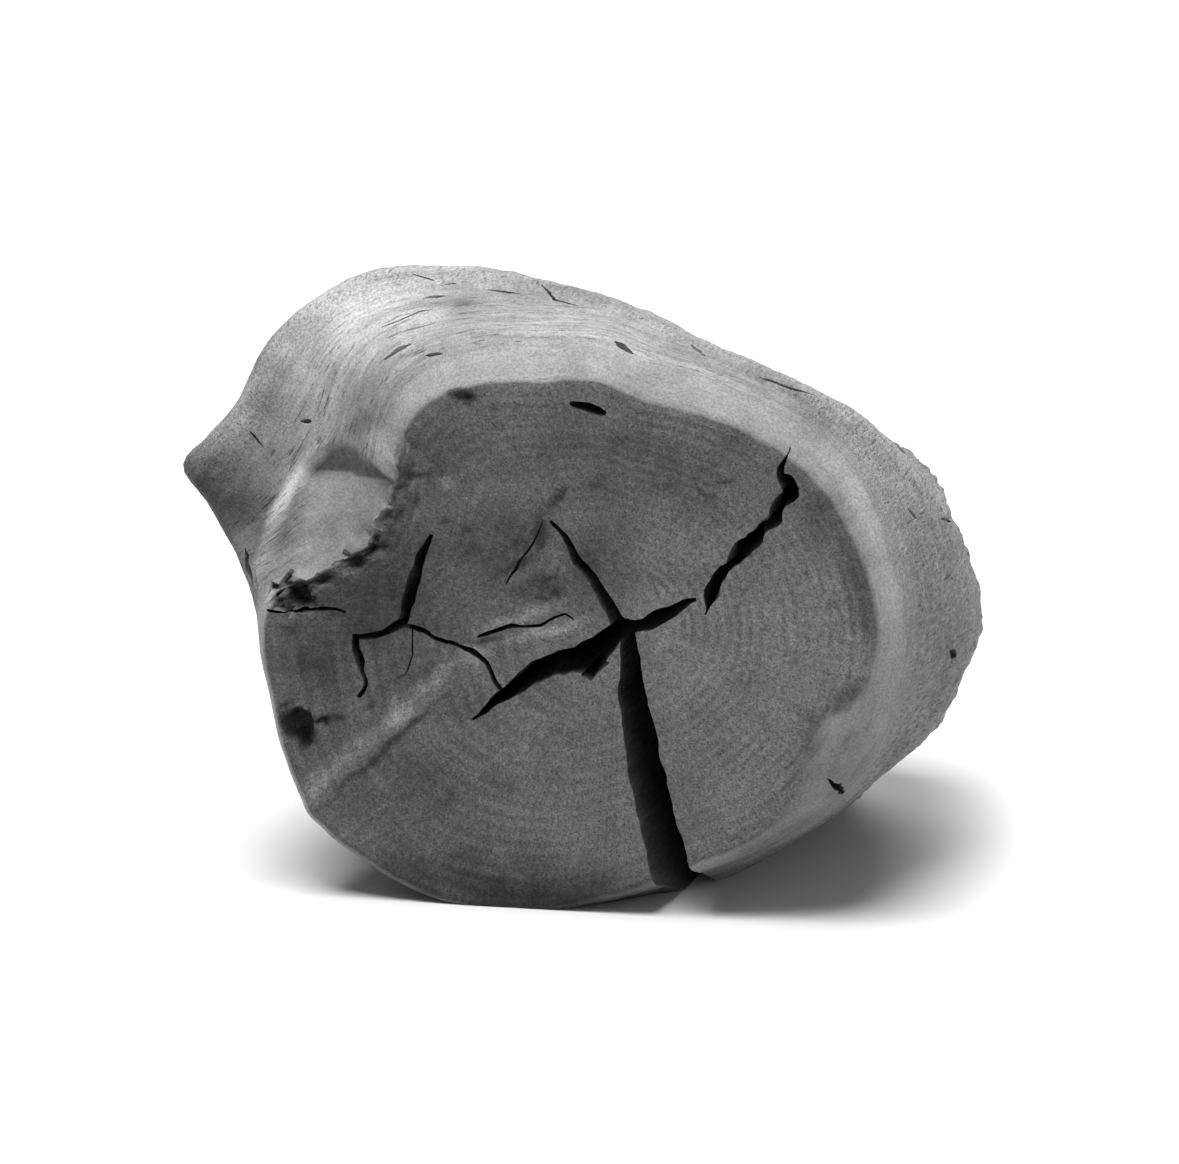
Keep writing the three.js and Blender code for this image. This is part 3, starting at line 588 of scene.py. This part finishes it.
def tube_faces(rings, around):
    """Four-sided faces between neighbouring rings of a closed tube, and one face across each end. They
    face outwards where the rings turn to the left as seen from behind the first one."""
    ring = np.arange(rings - 1)[:, None] * around
    here = np.arange(around)[None, :]
    after = (here + 1) % around
    quads = np.stack([ring + here, ring + after, ring + around + after, ring + around + here], axis=-1)
    last = (rings - 1) * around
    return quads.reshape(-1, 4).tolist() + [
        list(range(around))[::-1],
        list(range(last, last + around)),
    ]


def crack_points(mouth, inward, across, width, depth, seed, ragged=1.0, above=2.5):
    """The rings of a crack's cutter, as an array [station, corner, xyz].

    Each station has a mouth point on the surface. From a little above it to the crack's bottom, the two
    walls stand apart by a width that shrinks with depth. Each wall wanders by its own noise, so that the
    edges are ragged, and the crack as a whole sways inside."""
    levels = np.array([-0.5, -0.05, 0.06, 0.3, 0.65, 1.0])
    shares = np.array([1.25, 1.02, 0.95, 0.72, 0.42, 0.06])
    down = levels[None, :] * depth[:, None]
    down[:, 0] = -above
    half = 0.5 * width[:, None] * shares[None, :]
    steps = np.linalg.norm(np.diff(mouth, axis=0), axis=1)
    station = np.concatenate([[0], np.cumsum(steps)])[:, None] + 0 * down
    sway = 0.35 * fine_noise(np.stack([station, down, 0 * down], axis=-1), 5, seed)
    sway = sway * ease(down, 0, 6)
    walls = []
    for side in (1, -1):
        spot = np.stack([station, down, 0 * down + 50 * side], axis=-1)
        stray = 0.22 * fine_noise(spot, 0.8, seed + 1) + 0.16 * fine_noise(spot, 2.4, seed + 2)
        stray = stray * ragged * np.minimum(1, width[:, None] / 0.9)
        apart = np.maximum(half + stray, 0.04) * side + sway
        middle = mouth[:, None, :] + inward[:, None, :] * down[..., None]
        walls.append(middle + across[:, None, :] * apart[..., None])
    rings = np.concatenate([walls[0][:, ::-1], walls[1]], axis=1)
    ahead = np.cross(inward, across) * (mouth[-1] - mouth[0])
    return rings if ahead.sum() > 0 else rings[:, ::-1]


def resample(path, step=0.36):
    """Points every step along a path of [x, z, width], by straight lines between its own points."""
    path = np.array(path, float)
    lengths = np.hypot(*np.diff(path[:, :2], axis=0).T)
    travelled = np.concatenate([[0], np.cumsum(lengths)])
    at = np.linspace(0, travelled[-1], max(int(travelled[-1] / step), 4))
    return np.stack([np.interp(at, travelled, path[:, k]) for k in range(path.shape[1])], axis=-1)


def front_crack(depth, ragged, path, seed):
    """One crack of the front star: it follows its path across the end and cuts straight backwards."""
    path = resample(path)
    spot = np.stack([path[:, 0], path[:, 1], 0 * path[:, 0]], axis=-1)
    stray = np.stack([fine_noise(spot, 2.2, seed + 5), fine_noise(spot, 2.2, seed + 6)], axis=-1)
    flat = path[:, :2] + 0.25 * ragged * stray
    ahead = np.gradient(flat, axis=0)
    ahead = ahead / np.linalg.norm(ahead, axis=1)[:, None]
    nothing = 0 * flat[:, 0]
    mouth = np.stack([flat[:, 0], nothing, flat[:, 1]], axis=-1)
    across = np.stack([-ahead[:, 1], nothing, ahead[:, 0]], axis=-1)
    inward = np.stack([nothing, nothing + 1, nothing], axis=-1)
    return crack_points(mouth, inward, across, path[:, 2], nothing + depth, seed, ragged)


def barrel_radius(angle, depth):
    """The barrel's distance from the pith at matching arrays of angles and depths."""
    first = STRAIGHT_ROWS[0] + CORNER_ROWS[0]
    last = -((2 * len(BACK_STEPS) + 1) * STEP_ROWS)
    rows = profile_rows(angle)[first:last]
    radius = [np.interp(d, rows[:, i, 1], rows[:, i, 0]) for i, d in enumerate(depth)]
    return np.array(radius) + flutes_and_knot(angle, depth)


def short_check(width, cut, path, seed):
    """One short check in the barrel: it follows its path of [angle, depth] and points straight into the
    surface, whose slope comes from the distances from the pith a little before and behind it."""
    angle, depth = resample([[a, d] for a, d in path], 0.3).T
    radius = barrel_radius(angle, depth)
    slope = (barrel_radius(angle, depth + 0.4) - barrel_radius(angle, depth - 0.4)) / 0.8
    a = np.radians(angle)
    out = np.stack([np.cos(a), -slope, np.sin(a)], axis=-1)
    out = out / np.linalg.norm(out, axis=1)[:, None]
    mouth = np.stack([radius * np.cos(a), depth, radius * np.sin(a)], axis=-1)
    ahead = np.gradient(mouth, axis=0)
    across = np.cross(out, ahead)
    across = across / np.linalg.norm(across, axis=1)[:, None]
    swell = np.maximum(np.sin(np.linspace(0, np.pi, len(angle))), 0.2) ** 0.6
    return crack_points(mouth, -out, across, width * swell, cut * swell, seed, 1.5, 0.8)


def barrel_crack(angle, first, last, width, cut, seed):
    """One drying crack of the barrel: it runs lengthwise at nearly one angle, points at the pith, and is
    widest and deepest in the middle."""
    t = np.linspace(0, 1, int((last - first) / 0.6))
    depth = first + (last - first) * t
    angle = angle + 1.6 * np.sin(9 * t + angle)
    angle = angle + 0.5 * fine_noise(np.stack([depth, t, t], axis=-1), 3, seed)
    swell = np.maximum(np.sin(np.pi * t), 0.08)
    a = np.radians(angle)
    out = np.stack([np.cos(a), 0 * a, np.sin(a)], axis=-1)
    mouth = out * barrel_radius(angle, depth)[:, None] + np.stack([0 * a, depth, 0 * a], axis=-1)
    across = np.stack([-np.sin(a), 0 * a, np.cos(a)], axis=-1)
    return crack_points(mouth, -out, across, width * swell, cut * swell, seed)


def back_crack(angle, inner, outer, width, deep, seed):
    """One crack of the back end: it runs along a spoke from near the pith and cuts straight forwards."""
    t = np.linspace(0, 1, int((outer - inner) / 0.5))
    a = np.radians(angle + 5 * np.sin(7 * t + angle))
    out = np.stack([np.cos(a), 0 * a, np.sin(a)], axis=-1)
    mouth = out * (inner + (outer - inner) * t)[:, None] + np.array([0, RIM_DEPTH + 3, 0])
    across = np.stack([np.sin(a), 0 * a, -np.cos(a)], axis=-1)
    inward = np.stack([0 * a, 0 * a - 1, 0 * a], axis=-1)
    return crack_points(mouth, inward, across, width * (0.3 + 0.7 * t), deep + 0 * t, seed)


def cut_away(lump, cracks, material_number):
    """Cuts cracks out of the lump by their rings. Cracks whose boxes stay clear of each other are cut
    together. The cut faces take the lump's material of that number."""
    groups = []
    for rings in cracks:
        low, high = rings.min(axis=(0, 1)), rings.max(axis=(0, 1))
        for group in groups:
            if all(np.any(low > other[1]) or np.any(high < other[0]) for other in group):
                group.append((low, high, rings))
                break
        else:
            groups.append([(low, high, rings)])
    for group in groups:
        points, faces, count = [], [], 0
        for low, high, rings in group:
            faces += [[count + i for i in face] for face in tube_faces(*rings.shape[:2])]
            points.append(rings.reshape(-1, 3))
            count += len(points[-1])
        cutter = new_object("cutter", place(np.concatenate(points)), faces, lump.data.materials, False)
        cutter.data.polygons.foreach_set("material_index", np.full(len(faces), material_number))
        outwards(cutter)
        boolean = lump.modifiers.new("crack", "BOOLEAN")
        boolean.operation = "DIFFERENCE"
        boolean.solver = "MANIFOLD"
        boolean.object = cutter
        graph = bpy.context.evaluated_depsgraph_get()
        cut = bpy.data.meshes.new_from_object(lump.evaluated_get(graph))
        lump.modifiers.remove(boolean)
        lump.data = cut
        bpy.data.objects.remove(cutter)


def drop_crumbs(mesh):
    """Removes what crossing cracks have cut loose, so that only the largest connected piece is left.
    Every point takes the lowest number that it finds on its edges, until one number fills each piece."""
    edges = np.empty(len(mesh.edges) * 2, int)
    mesh.edges.foreach_get("vertices", edges)
    first, second = edges.reshape(-1, 2).T
    number = np.arange(len(mesh.vertices))
    before = None
    while not np.array_equal(number, before):
        before = number.copy()
        lowest = np.minimum(number[first], number[second])
        np.minimum.at(number, first, lowest)
        np.minimum.at(number, second, lowest)
        number = number[number]
    crumbs = np.flatnonzero(number != np.bincount(number).argmax())
    editing = bmesh.new()
    editing.from_mesh(mesh)
    editing.verts.ensure_lookup_table()
    bmesh.ops.delete(editing, geom=[editing.verts[i] for i in crumbs], context="VERTS")
    editing.to_mesh(mesh)
    editing.free()


def outwards(obj):
    """Turns a closed mesh's faces outwards if the volume that they enclose comes out negative."""
    mesh = obj.data
    points = np.empty(len(mesh.vertices) * 3)
    mesh.vertices.foreach_get("co", points)
    points = points.reshape(-1, 3)
    mesh.calc_loop_triangles()
    corners = np.empty(len(mesh.loop_triangles) * 3, int)
    mesh.loop_triangles.foreach_get("vertices", corners)
    a, b, c = (points[corners.reshape(-1, 3)[:, k]] for k in range(3))
    if np.sum(a * np.cross(b, c)) < 0:
        mesh.flip_normals()


def soft_light(name, spot, aim, size, power):
    """A square area light at that spot, turned to the point that it aims at."""
    data = bpy.data.lights.new(name, "AREA")
    data.size = size
    data.energy = power
    light = bpy.data.objects.new(name, data)
    light.location = spot
    light.rotation_euler = (Vector(aim) - light.location).to_track_quat("-Z", "Y").to_euler()
    bpy.context.scene.collection.objects.link(light)


def make_lump():
    """The whole lump with its cracks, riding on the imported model's one body."""
    points = lump_surface()
    rows, around = points.shape[:2]
    materials = [charred_wood(), crack_wall()]
    lump = new_object("charcoal", place(points), tube_faces(rows, around), materials)
    outwards(lump)
    cracks = [front_crack(*crack, 100 + 7 * i) for i, crack in enumerate(FRONT_CRACKS)]
    cracks += [barrel_crack(*crack, 300 + 7 * i) for i, crack in enumerate(BARREL_CRACKS)]
    cracks += [back_crack(*crack, 500 + 7 * i) for i, crack in enumerate(BACK_CRACKS)]
    cut_away(lump, cracks, 1)
    checks = [short_check(*check, 700 + 7 * i) for i, check in enumerate(SHORT_CHECKS)]
    for material_number, deep in ((1, True), (0, False)):
        chosen = [rings for rings, check in zip(checks, SHORT_CHECKS) if (check[1] > DEEP_CHECK) == deep]
        cut_away(lump, chosen, material_number)
    drop_crumbs(lump.data)
    mark_surface(lump.data)
    lump.data.set_sharp_from_angle(angle=math.radians(38))
    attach(lump, "root")
    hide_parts("charcoal_lump")
    return lump


def millimetres(mesh):
    """The points of a finished mesh, in millimetres from the pith."""
    low, high = (np.array(corner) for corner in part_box("charcoal_lump"))
    points = np.empty(len(mesh.vertices) * 3)
    mesh.vertices.foreach_get("co", points)
    return LOW_CORNER + (points.reshape(-1, 3) - low) * (HIGH_CORNER - LOW_CORNER) / (high - low)


def smudges(x, z, places):
    """The strongest of some oval smudges at each point of the end, as seen from the front. A place is its
    middle's x and z, its half length and half height, its tilt in degrees and its strength. Large ones
    fade softly. Small ones have firmer edges. All are a little uneven."""
    spot = np.stack([x, 0 * x, z], axis=-1)
    x = x + 0.30 * rough_noise(spot, 1.6, 71)
    z = z + 0.30 * rough_noise(spot, 1.6, 73)
    strongest = np.zeros_like(x)
    for cx, cz, long, high, tilt, strength in places:
        t = math.radians(tilt)
        ahead = ((x - cx) * math.cos(t) + (z - cz) * math.sin(t)) / long
        aside = ((z - cz) * math.cos(t) - (x - cx) * math.sin(t)) / high
        firmness = 1 if min(long, high) > 2.5 else 1.8
        strongest = np.maximum(strongest, strength * np.exp(-((ahead**2 + aside**2) ** firmness)))
    return strongest


def sawn_share(angle, beyond, depth):
    """1 on the sawn front end and 0 beyond its edge. The sawn look stops short of a worn edge."""
    worn = WORN_EDGE["inwards"] * bell(angle, WORN_EDGE["angle"], WORN_EDGE["spread"])
    sawn = 1 - ease(beyond - edge_stray(angle) + worn, -0.35 - 0.5 * worn, 0.1)
    return sawn * (1 - ease(depth, 4, 6))


def on_barrel(table, angle, depth):
    """The strongest of some soft patches at each point of the barrel. A place is its middle's angle and
    depth, how far it spreads in each, and its strength."""
    strongest = np.zeros_like(angle)
    for middle, deep, round_it, along_it, strength in table:
        patch = bell(angle, middle, round_it) * np.exp(-(((depth - deep) / along_it) ** 2))
        strongest = np.maximum(strongest, strength * patch)
    return strongest


def soot_and_shade_places(spot, angle, beyond, sawn):
    """How dark each point is, from soot and from painted shade: the smudges of the end, some of them
    painted shade; the chips inside its rough break, partly painted shadow; the step above the facet,
    painted shade because it faces down; the barrel's back half; and the barrel's own patches, some of them
    painted shade."""
    x, depth, z = spot.T
    inside = -beyond + 0.9 * fine_noise(spot, 2.4, 45)
    # The chip band inside the rough break is darkened, partly as painted shadow under the break's proud
    # edge.
    chips = on_rough_break(angle) * ease(inside, -0.3, 0.4) * (1 - ease(inside, 1.5, 5))
    chips = chips * np.clip(0.62 + 0.5 * rough_noise(spot, 1.7, 47), 0, 1)
    soot_and_shade = np.maximum(smudges(x, z, SOOT_AND_PAINTED_SHADE) * (1 - ease(depth, 8, 12)), chips * sawn)
    # Painted shade: the step above the facet faces down, and it is darkened.
    step = facet_and_step(x, z)[1]
    soot_and_shade = np.maximum(soot_and_shade, 0.80 * step * (1 - ease(depth, 8, 11)) * (1 - sawn))
    soot_and_shade = np.maximum(soot_and_shade, ease(depth, 24, 46) * (0.52 + 0.16 * rough_noise(spot, 9, 77)))
    return np.maximum(soot_and_shade, on_barrel(BARREL_SOOT_AND_PAINTED_SHADE, angle, depth) * (1 - sawn))


def mark_surface(mesh):
    """Gives each point of the lump the values that its material reads.

    sawn is 1 on the front end, snapped is 1 on the back end, and strip is 1 on the facet and on the
    smooth bevel next to the front edge. grain rises from 0 to 1 where streaks along the branch take
    over from those round it. ring counts growth rings outwards: the distance from the pith in shares of
    the front edge's, stretched to 28. layers closes up round the branch, for streaks that follow the
    growth layers. soot_and_shade is how much a point is darkened, by soot and by painted shade, and
    ash_and_highlight how much it is lightened, by ash and by painted highlights."""
    spot = millimetres(mesh)
    x, depth, z = spot.T
    radius = np.hypot(x, z)
    angle = np.degrees(np.arctan2(z, x)) % 360
    edge = along(FRONT_EDGE, angle)
    beyond = radius - edge
    travel = depth * 0.8 + beyond * 0.6
    ridge = on_ridge(angle, beyond, depth)
    sawn = sawn_share(angle, beyond, depth)
    strip = 1 - ease(travel + 0.8 * rough_noise(spot, 4, 61), 3.6, 5.2)
    calm_facet = ease(facet_and_step(x, z)[0], 0.05, 0.3) * (1 - ease(depth, 7, 9))
    ash_and_highlight = smudges(x, z, ASH_AND_PAINTED_HIGHLIGHT) * (1 - ease(depth, 5, 8))
    ash_and_highlight = np.maximum(ash_and_highlight, on_barrel(BARREL_ASH_AND_PAINTED_HIGHLIGHT, angle, depth) * (1 - sawn))
    marks = {
        "sawn": sawn,
        "snapped": ease(depth, 64.5, 65.6),
        "strip": np.maximum(strip, calm_facet) * (1 - sawn),
        "grain": ease(travel + 6 * bell(angle, 12, 44) - 9 * bell(angle, 142, 42), 6, 15),
        "ring": radius / edge * 28 + 0.18 * rough_noise(spot, 7, 67),
        "soot_and_shade": soot_and_shade_places(spot, angle, beyond, sawn) * (1 - ridge),
        # Along the ridge a painted highlight takes the place of the darkening.
        "ash_and_highlight": np.maximum(ash_and_highlight, RIDGE["painted_highlight"] * ridge),
    }
    for name, values in marks.items():
        mesh.attributes.new(name, "FLOAT", "POINT").data.foreach_set("value", values)
    layers = round_branch(angle, 22, travel)
    mesh.attributes.new("layers", "FLOAT_VECTOR", "POINT").data.foreach_set("vector", layers.ravel())


def add_node(tree, kind, inputs, **settings):
    """Adds a shader node. Its inputs are plain values, or other nodes' outputs to link."""
    node = tree.nodes.new("ShaderNode" + kind)
    for name, value in settings.items():
        setattr(node, name, value)
    for key, value in inputs.items():
        if isinstance(value, bpy.types.NodeSocket):
            tree.links.new(value, node.inputs[key])
        else:
            node.inputs[key].default_value = value
    return node


def calculate(tree, operation, first, second=0.0):
    """The result of one sum on two numbers."""
    return add_node(tree, "Math", {0: first, 1: second}, operation=operation).outputs[0]


def between(tree, share, low, high):
    """The number that lies that share of the way from low to high."""
    return add_node(tree, "Mix", {0: share, 2: low, 3: high}).outputs[0]


def spread(tree, value, low, high):
    """0 below low, 1 above high and an even rise between them."""
    return add_node(tree, "MapRange", {0: value, 1: low, 2: high}).outputs[0]


def mottle(tree, where, cell, shift, detail=2.0):
    """Cloudy noise from 0 to 1 whose spots have that size along each axis of the coordinates."""
    inverse = tuple(1 / size for size in cell)
    at = add_node(tree, "Mapping", {"Vector": where, "Scale": inverse, "Location": (shift, shift, 0)})
    noise = add_node(tree, "TexNoise", {"Vector": at.outputs[0], "Scale": 1.0, "Detail": detail,
                                        "Roughness": 0.6})
    return spread(tree, noise.outputs[0], 0.3, 0.7)


def toned(tree, tone, pattern, low, high):
    """A tone made that many times as strong where the pattern is 0 and where it is 1."""
    return calculate(tree, "MULTIPLY", tone, between(tree, pattern, low, high))


def marked(tree, name, output=2):
    """A value that mark_surface() gave to the points."""
    return add_node(tree, "Attribute", {}, attribute_name=name).outputs[output]


def plain_material(name, tone, roughness):
    """A grey material: its node tree, its shader and the material itself."""
    material = bpy.data.materials.new(name)
    material.use_nodes = True
    shader = material.node_tree.nodes["Principled BSDF"]
    shader.inputs["Base Color"].default_value = (tone, tone, tone, 1)
    shader.inputs["Roughness"].default_value = roughness
    return material.node_tree, shader, material


def in_millimetres(tree):
    """The object's own coordinates in millimetres."""
    metres = add_node(tree, "TexCoord", {}).outputs["Object"]
    return add_node(tree, "VectorMath", {0: metres, "Scale": 1000.0}, operation="SCALE").outputs[0]


def pores(tree, where, cell, shift, size):
    """1 on small spots scattered about one to a cell of that size, and 0 between them."""
    inverse = tuple(1 / width for width in cell)
    at = add_node(tree, "Mapping", {"Vector": where, "Scale": inverse, "Location": (shift, shift, 0)})
    near = add_node(tree, "TexVoronoi", {"Vector": at.outputs[0], "Scale": 1.0}).outputs["Distance"]
    return spread(tree, near, size, size * 0.55)


def sawn_tone(tree, spot, ring, layers):
    """The front end's tone and its bump height: uneven growth rings, faint rays, small pores, a fine
    speckle and broad clouds."""
    only_ring = add_node(tree, "CombineXYZ", {2: ring}).outputs[0]
    wave = calculate(tree, "SINE", calculate(tree, "MULTIPLY", ring, 2 * math.pi / 1.22))
    bands = mottle(tree, only_ring, (1, 1, 0.75), 37.0, 1.0)
    rings = between(tree, 0.5, spread(tree, wave, -1.0, 1.0), bands)
    rings = between(tree, mottle(tree, spot, (8, 8, 8), 1.0), 0.6, rings)
    rays = mottle(tree, layers, (0.33, 0.33, 40), 3.0, 1.0)
    dots = pores(tree, spot, (0.46, 0.46, 0.46), 5.0, 0.32)
    speckle = mottle(tree, spot, (0.22, 0.22, 0.22), 6.0, 1.0)
    grit = mottle(tree, spot, (0.45, 0.45, 0.45), 8.0, 1.0)
    clouds = mottle(tree, spot, (6, 6, 6), 7.0, 5.0)
    tone = toned(tree, SAWN_TONE, rings, 0.62, 1.24)
    tone = toned(tree, tone, rays, 0.90, 1.10)
    tone = toned(tree, tone, dots, 1.03, 0.78)
    tone = toned(tree, tone, speckle, 0.66, 1.34)
    tone = toned(tree, tone, grit, 0.80, 1.20)
    tone = toned(tree, tone, clouds, 0.78, 1.22)
    height = calculate(tree, "SUBTRACT", calculate(tree, "MULTIPLY", speckle, 0.5), dots)
    return tone, calculate(tree, "ADD", height, calculate(tree, "MULTIPLY", rings, 0.5))


def barrel_tone(tree, spot, layers, strip):
    """The barrel's tone and its bump height: near the front, streaks that follow the growth layers;
    further back, strokes and long pores that run along the branch; dark flecks, a fine speckle and
    broad clouds; all of it fainter on the smooth strip."""
    grain = marked(tree, "grain")
    streaks = mottle(tree, layers, (4.0, 4.0, 0.6), 11.0, 3.0)
    broad = mottle(tree, layers, (10, 10, 1.5), 12.0, 3.0)
    strokes = mottle(tree, spot, (0.42, 2.5, 0.42), 13.0, 2.0)
    lines = between(tree, grain, streaks, strokes)
    round_pores = pores(tree, layers, (1.1, 1.1, 0.5), 15.0, 0.26)
    long_pores = pores(tree, spot, (0.5, 1.5, 0.5), 16.0, 0.30)
    dots = between(tree, grain, round_pores, long_pores)
    flecks = between(tree, grain, mottle(tree, layers, (2.2, 2.2, 0.4), 17.0, 2.0),
                     mottle(tree, spot, (0.5, 3.0, 0.5), 18.0, 2.0))
    flecks = spread(tree, flecks, 0.80, 0.98)
    speckle = mottle(tree, spot, (0.26, 0.34, 0.26), 19.0, 1.0)
    clouds = mottle(tree, spot, (7, 11, 7), 23.0, 4.0)
    calm = between(tree, strip, 1.0, 0.3)
    tone = toned(tree, BARREL_TONE, lines, 0.76, 1.20)
    tone = toned(tree, tone, broad, 0.80, 1.18)
    tone = toned(tree, tone, flecks, 1.0, 0.45)
    tone = between(tree, calm, SMOOTH_STRIP_TONE, tone)
    tone = toned(tree, tone, calculate(tree, "MULTIPLY", dots, calm), 1.03, 0.76)
    tone = toned(tree, tone, speckle, between(tree, grain, 0.80, 0.66), between(tree, grain, 1.20, 1.34))
    tone = toned(tree, tone, clouds, 0.80, 1.18)
    height = calculate(tree, "SUBTRACT", lines, calculate(tree, "ADD", dots, flecks))
    height = calculate(tree, "MULTIPLY", height, calm)
    return tone, calculate(tree, "ADD", height, calculate(tree, "MULTIPLY", speckle, 0.4))


def charred_wood():
    """The lump's outside: the barrel's tone and the sawn end's, each where it belongs, then the soot and
    the ash with the painted shade and painted highlights among them, with roughness and bump from the
    same patterns."""
    tree, shader, material = plain_material("charred_wood", BARREL_TONE, 0.6)
    shader.inputs["Specular IOR Level"].default_value = 0.2
    spot = in_millimetres(tree)
    sawn, strip, ring = marked(tree, "sawn"), marked(tree, "strip"), marked(tree, "ring")
    layers = marked(tree, "layers", 1)
    end, end_height = sawn_tone(tree, spot, ring, layers)
    side, side_height = barrel_tone(tree, spot, layers, strip)
    coarse = mottle(tree, spot, (1.1, 1.1, 1.1), 43.0, 4.0)
    snapped = marked(tree, "snapped")
    side = between(tree, snapped, side, toned(tree, end, coarse, 1.0, 1.9))
    side_height = between(tree, snapped, side_height, calculate(tree, "MULTIPLY", coarse, 3.0))
    soot_and_shade = marked(tree, "soot_and_shade")
    darkest = spread(tree, soot_and_shade, 0.62, 0.95)
    crumbs = mottle(tree, spot, (0.55, 0.55, 0.55), 41.0, 3.0)
    patches = mottle(tree, spot, (2.4, 3.4, 2.4), 47.0, 4.0)
    darkened = spread(tree, soot_and_shade, 0.15, 0.60)
    tone = between(tree, sawn, side, end)
    # Darkening by soot and by painted shade.
    tone = toned(tree, tone, soot_and_shade, 1.0, 0.18)
    tone = toned(tree, tone, calculate(tree, "MULTIPLY", darkest, crumbs), 1.25, 0.5)
    tone = toned(tree, tone, between(tree, darkened, 0.5, patches), 0.70, 1.30)
    # Lightening by ash and by painted highlights.
    tone = toned(tree, tone, marked(tree, "ash_and_highlight"), 1.0, 2.0)
    height = between(tree, sawn, side_height, end_height)
    darkest = calculate(tree, "MULTIPLY", calculate(tree, "MULTIPLY", darkest, crumbs), 3.0)
    height = calculate(tree, "ADD", height, darkest)
    tree.links.new(tone, shader.inputs["Base Color"])
    tree.links.new(between(tree, height, 0.74, 0.56), shader.inputs["Roughness"])
    bump = add_node(tree, "Bump", {"Strength": 0.7, "Distance": 0.00008, "Height": height})
    tree.links.new(bump.outputs[0], shader.inputs["Normal"])
    return material


def crack_wall():
    """The walls of the cracks, near-black from soot and from painted shade, with the wood's fibres showing
    along the branch.
    """
    tree, shader, material = plain_material("crack_wall", CRACK_TONE, 0.85)
    spot = in_millimetres(tree)
    fibres = mottle(tree, spot, (0.5, 4.0, 0.5), 29.0)
    clouds = mottle(tree, spot, (3, 3, 3), 31.0)
    tone = toned(tree, toned(tree, CRACK_TONE, fibres, 0.6, 1.4), clouds, 0.7, 1.3)
    tree.links.new(tone, shader.inputs["Base Color"])
    bump = add_node(tree, "Bump", {"Strength": 0.8, "Distance": 0.0002, "Height": fibres})
    tree.links.new(bump.outputs[0], shader.inputs["Normal"])
    return material


def make_floor():
    """The pale floor that the lump lies on."""
    side = 4.0
    corners = np.array([[-side, -side, 0], [side, -side, 0], [side, side, 0], [-side, side, 0]])
    material = plain_material("pale_floor", FLOOR_TONE, 0.9)[2]
    floor = new_object("floor", corners, [[0, 1, 2, 3]], [material])


def make_light():
    """Soft studio light: a large one overhead, a weak one from the right, one for the floor behind the
    lump, and a faint glow all round."""
    soft_light("overhead", (-0.18, -0.27, 1.96), (0, 0, 0.03), 1.33, 98)
    soft_light("from_the_right", (0.90, -0.20, 0.30), (0, 0, 0.03), 0.50, 1.6)
    soft_light("floor_behind", (0, 1.60, 1.20), (0, 1.60, 0), 1.00, 45)
    world = bpy.data.worlds.new("studio")
    world.use_nodes = True
    world.node_tree.nodes["Background"].inputs["Color"].default_value = (1, 1, 1, 1)
    world.node_tree.nodes["Background"].inputs["Strength"].default_value = 0.27
    bpy.context.scene.world = world


def make_camera():
    """The photograph's view: from the front, a little to the right and above, through a long lens."""
    azimuth, elevation, distance = math.radians(12), math.radians(14), 0.95
    width_seen = 0.1251
    right = Vector((math.cos(azimuth), math.sin(azimuth), 0))
    back = Vector((math.sin(azimuth) * math.cos(elevation), -math.cos(azimuth) * math.cos(elevation),
                   math.sin(elevation)))
    up = back.cross(right)
    pith = Vector(place(np.zeros(3)))
    data = bpy.data.cameras.new("camera")
    data.lens = data.sensor_width * distance / width_seen
    data.clip_start, data.clip_end = 0.01, 20
    camera = bpy.data.objects.new("camera", data)
    camera.location = pith - right * 0.0032 + up * 0.00435 + back * distance
    camera.rotation_euler = back.to_track_quat("Z", "Y").to_euler()
    bpy.context.scene.collection.objects.link(camera)
    bpy.context.scene.camera = camera


make_lump()
make_floor()
make_light()
make_camera()
bpy.context.scene.view_settings.view_transform = "Standard"
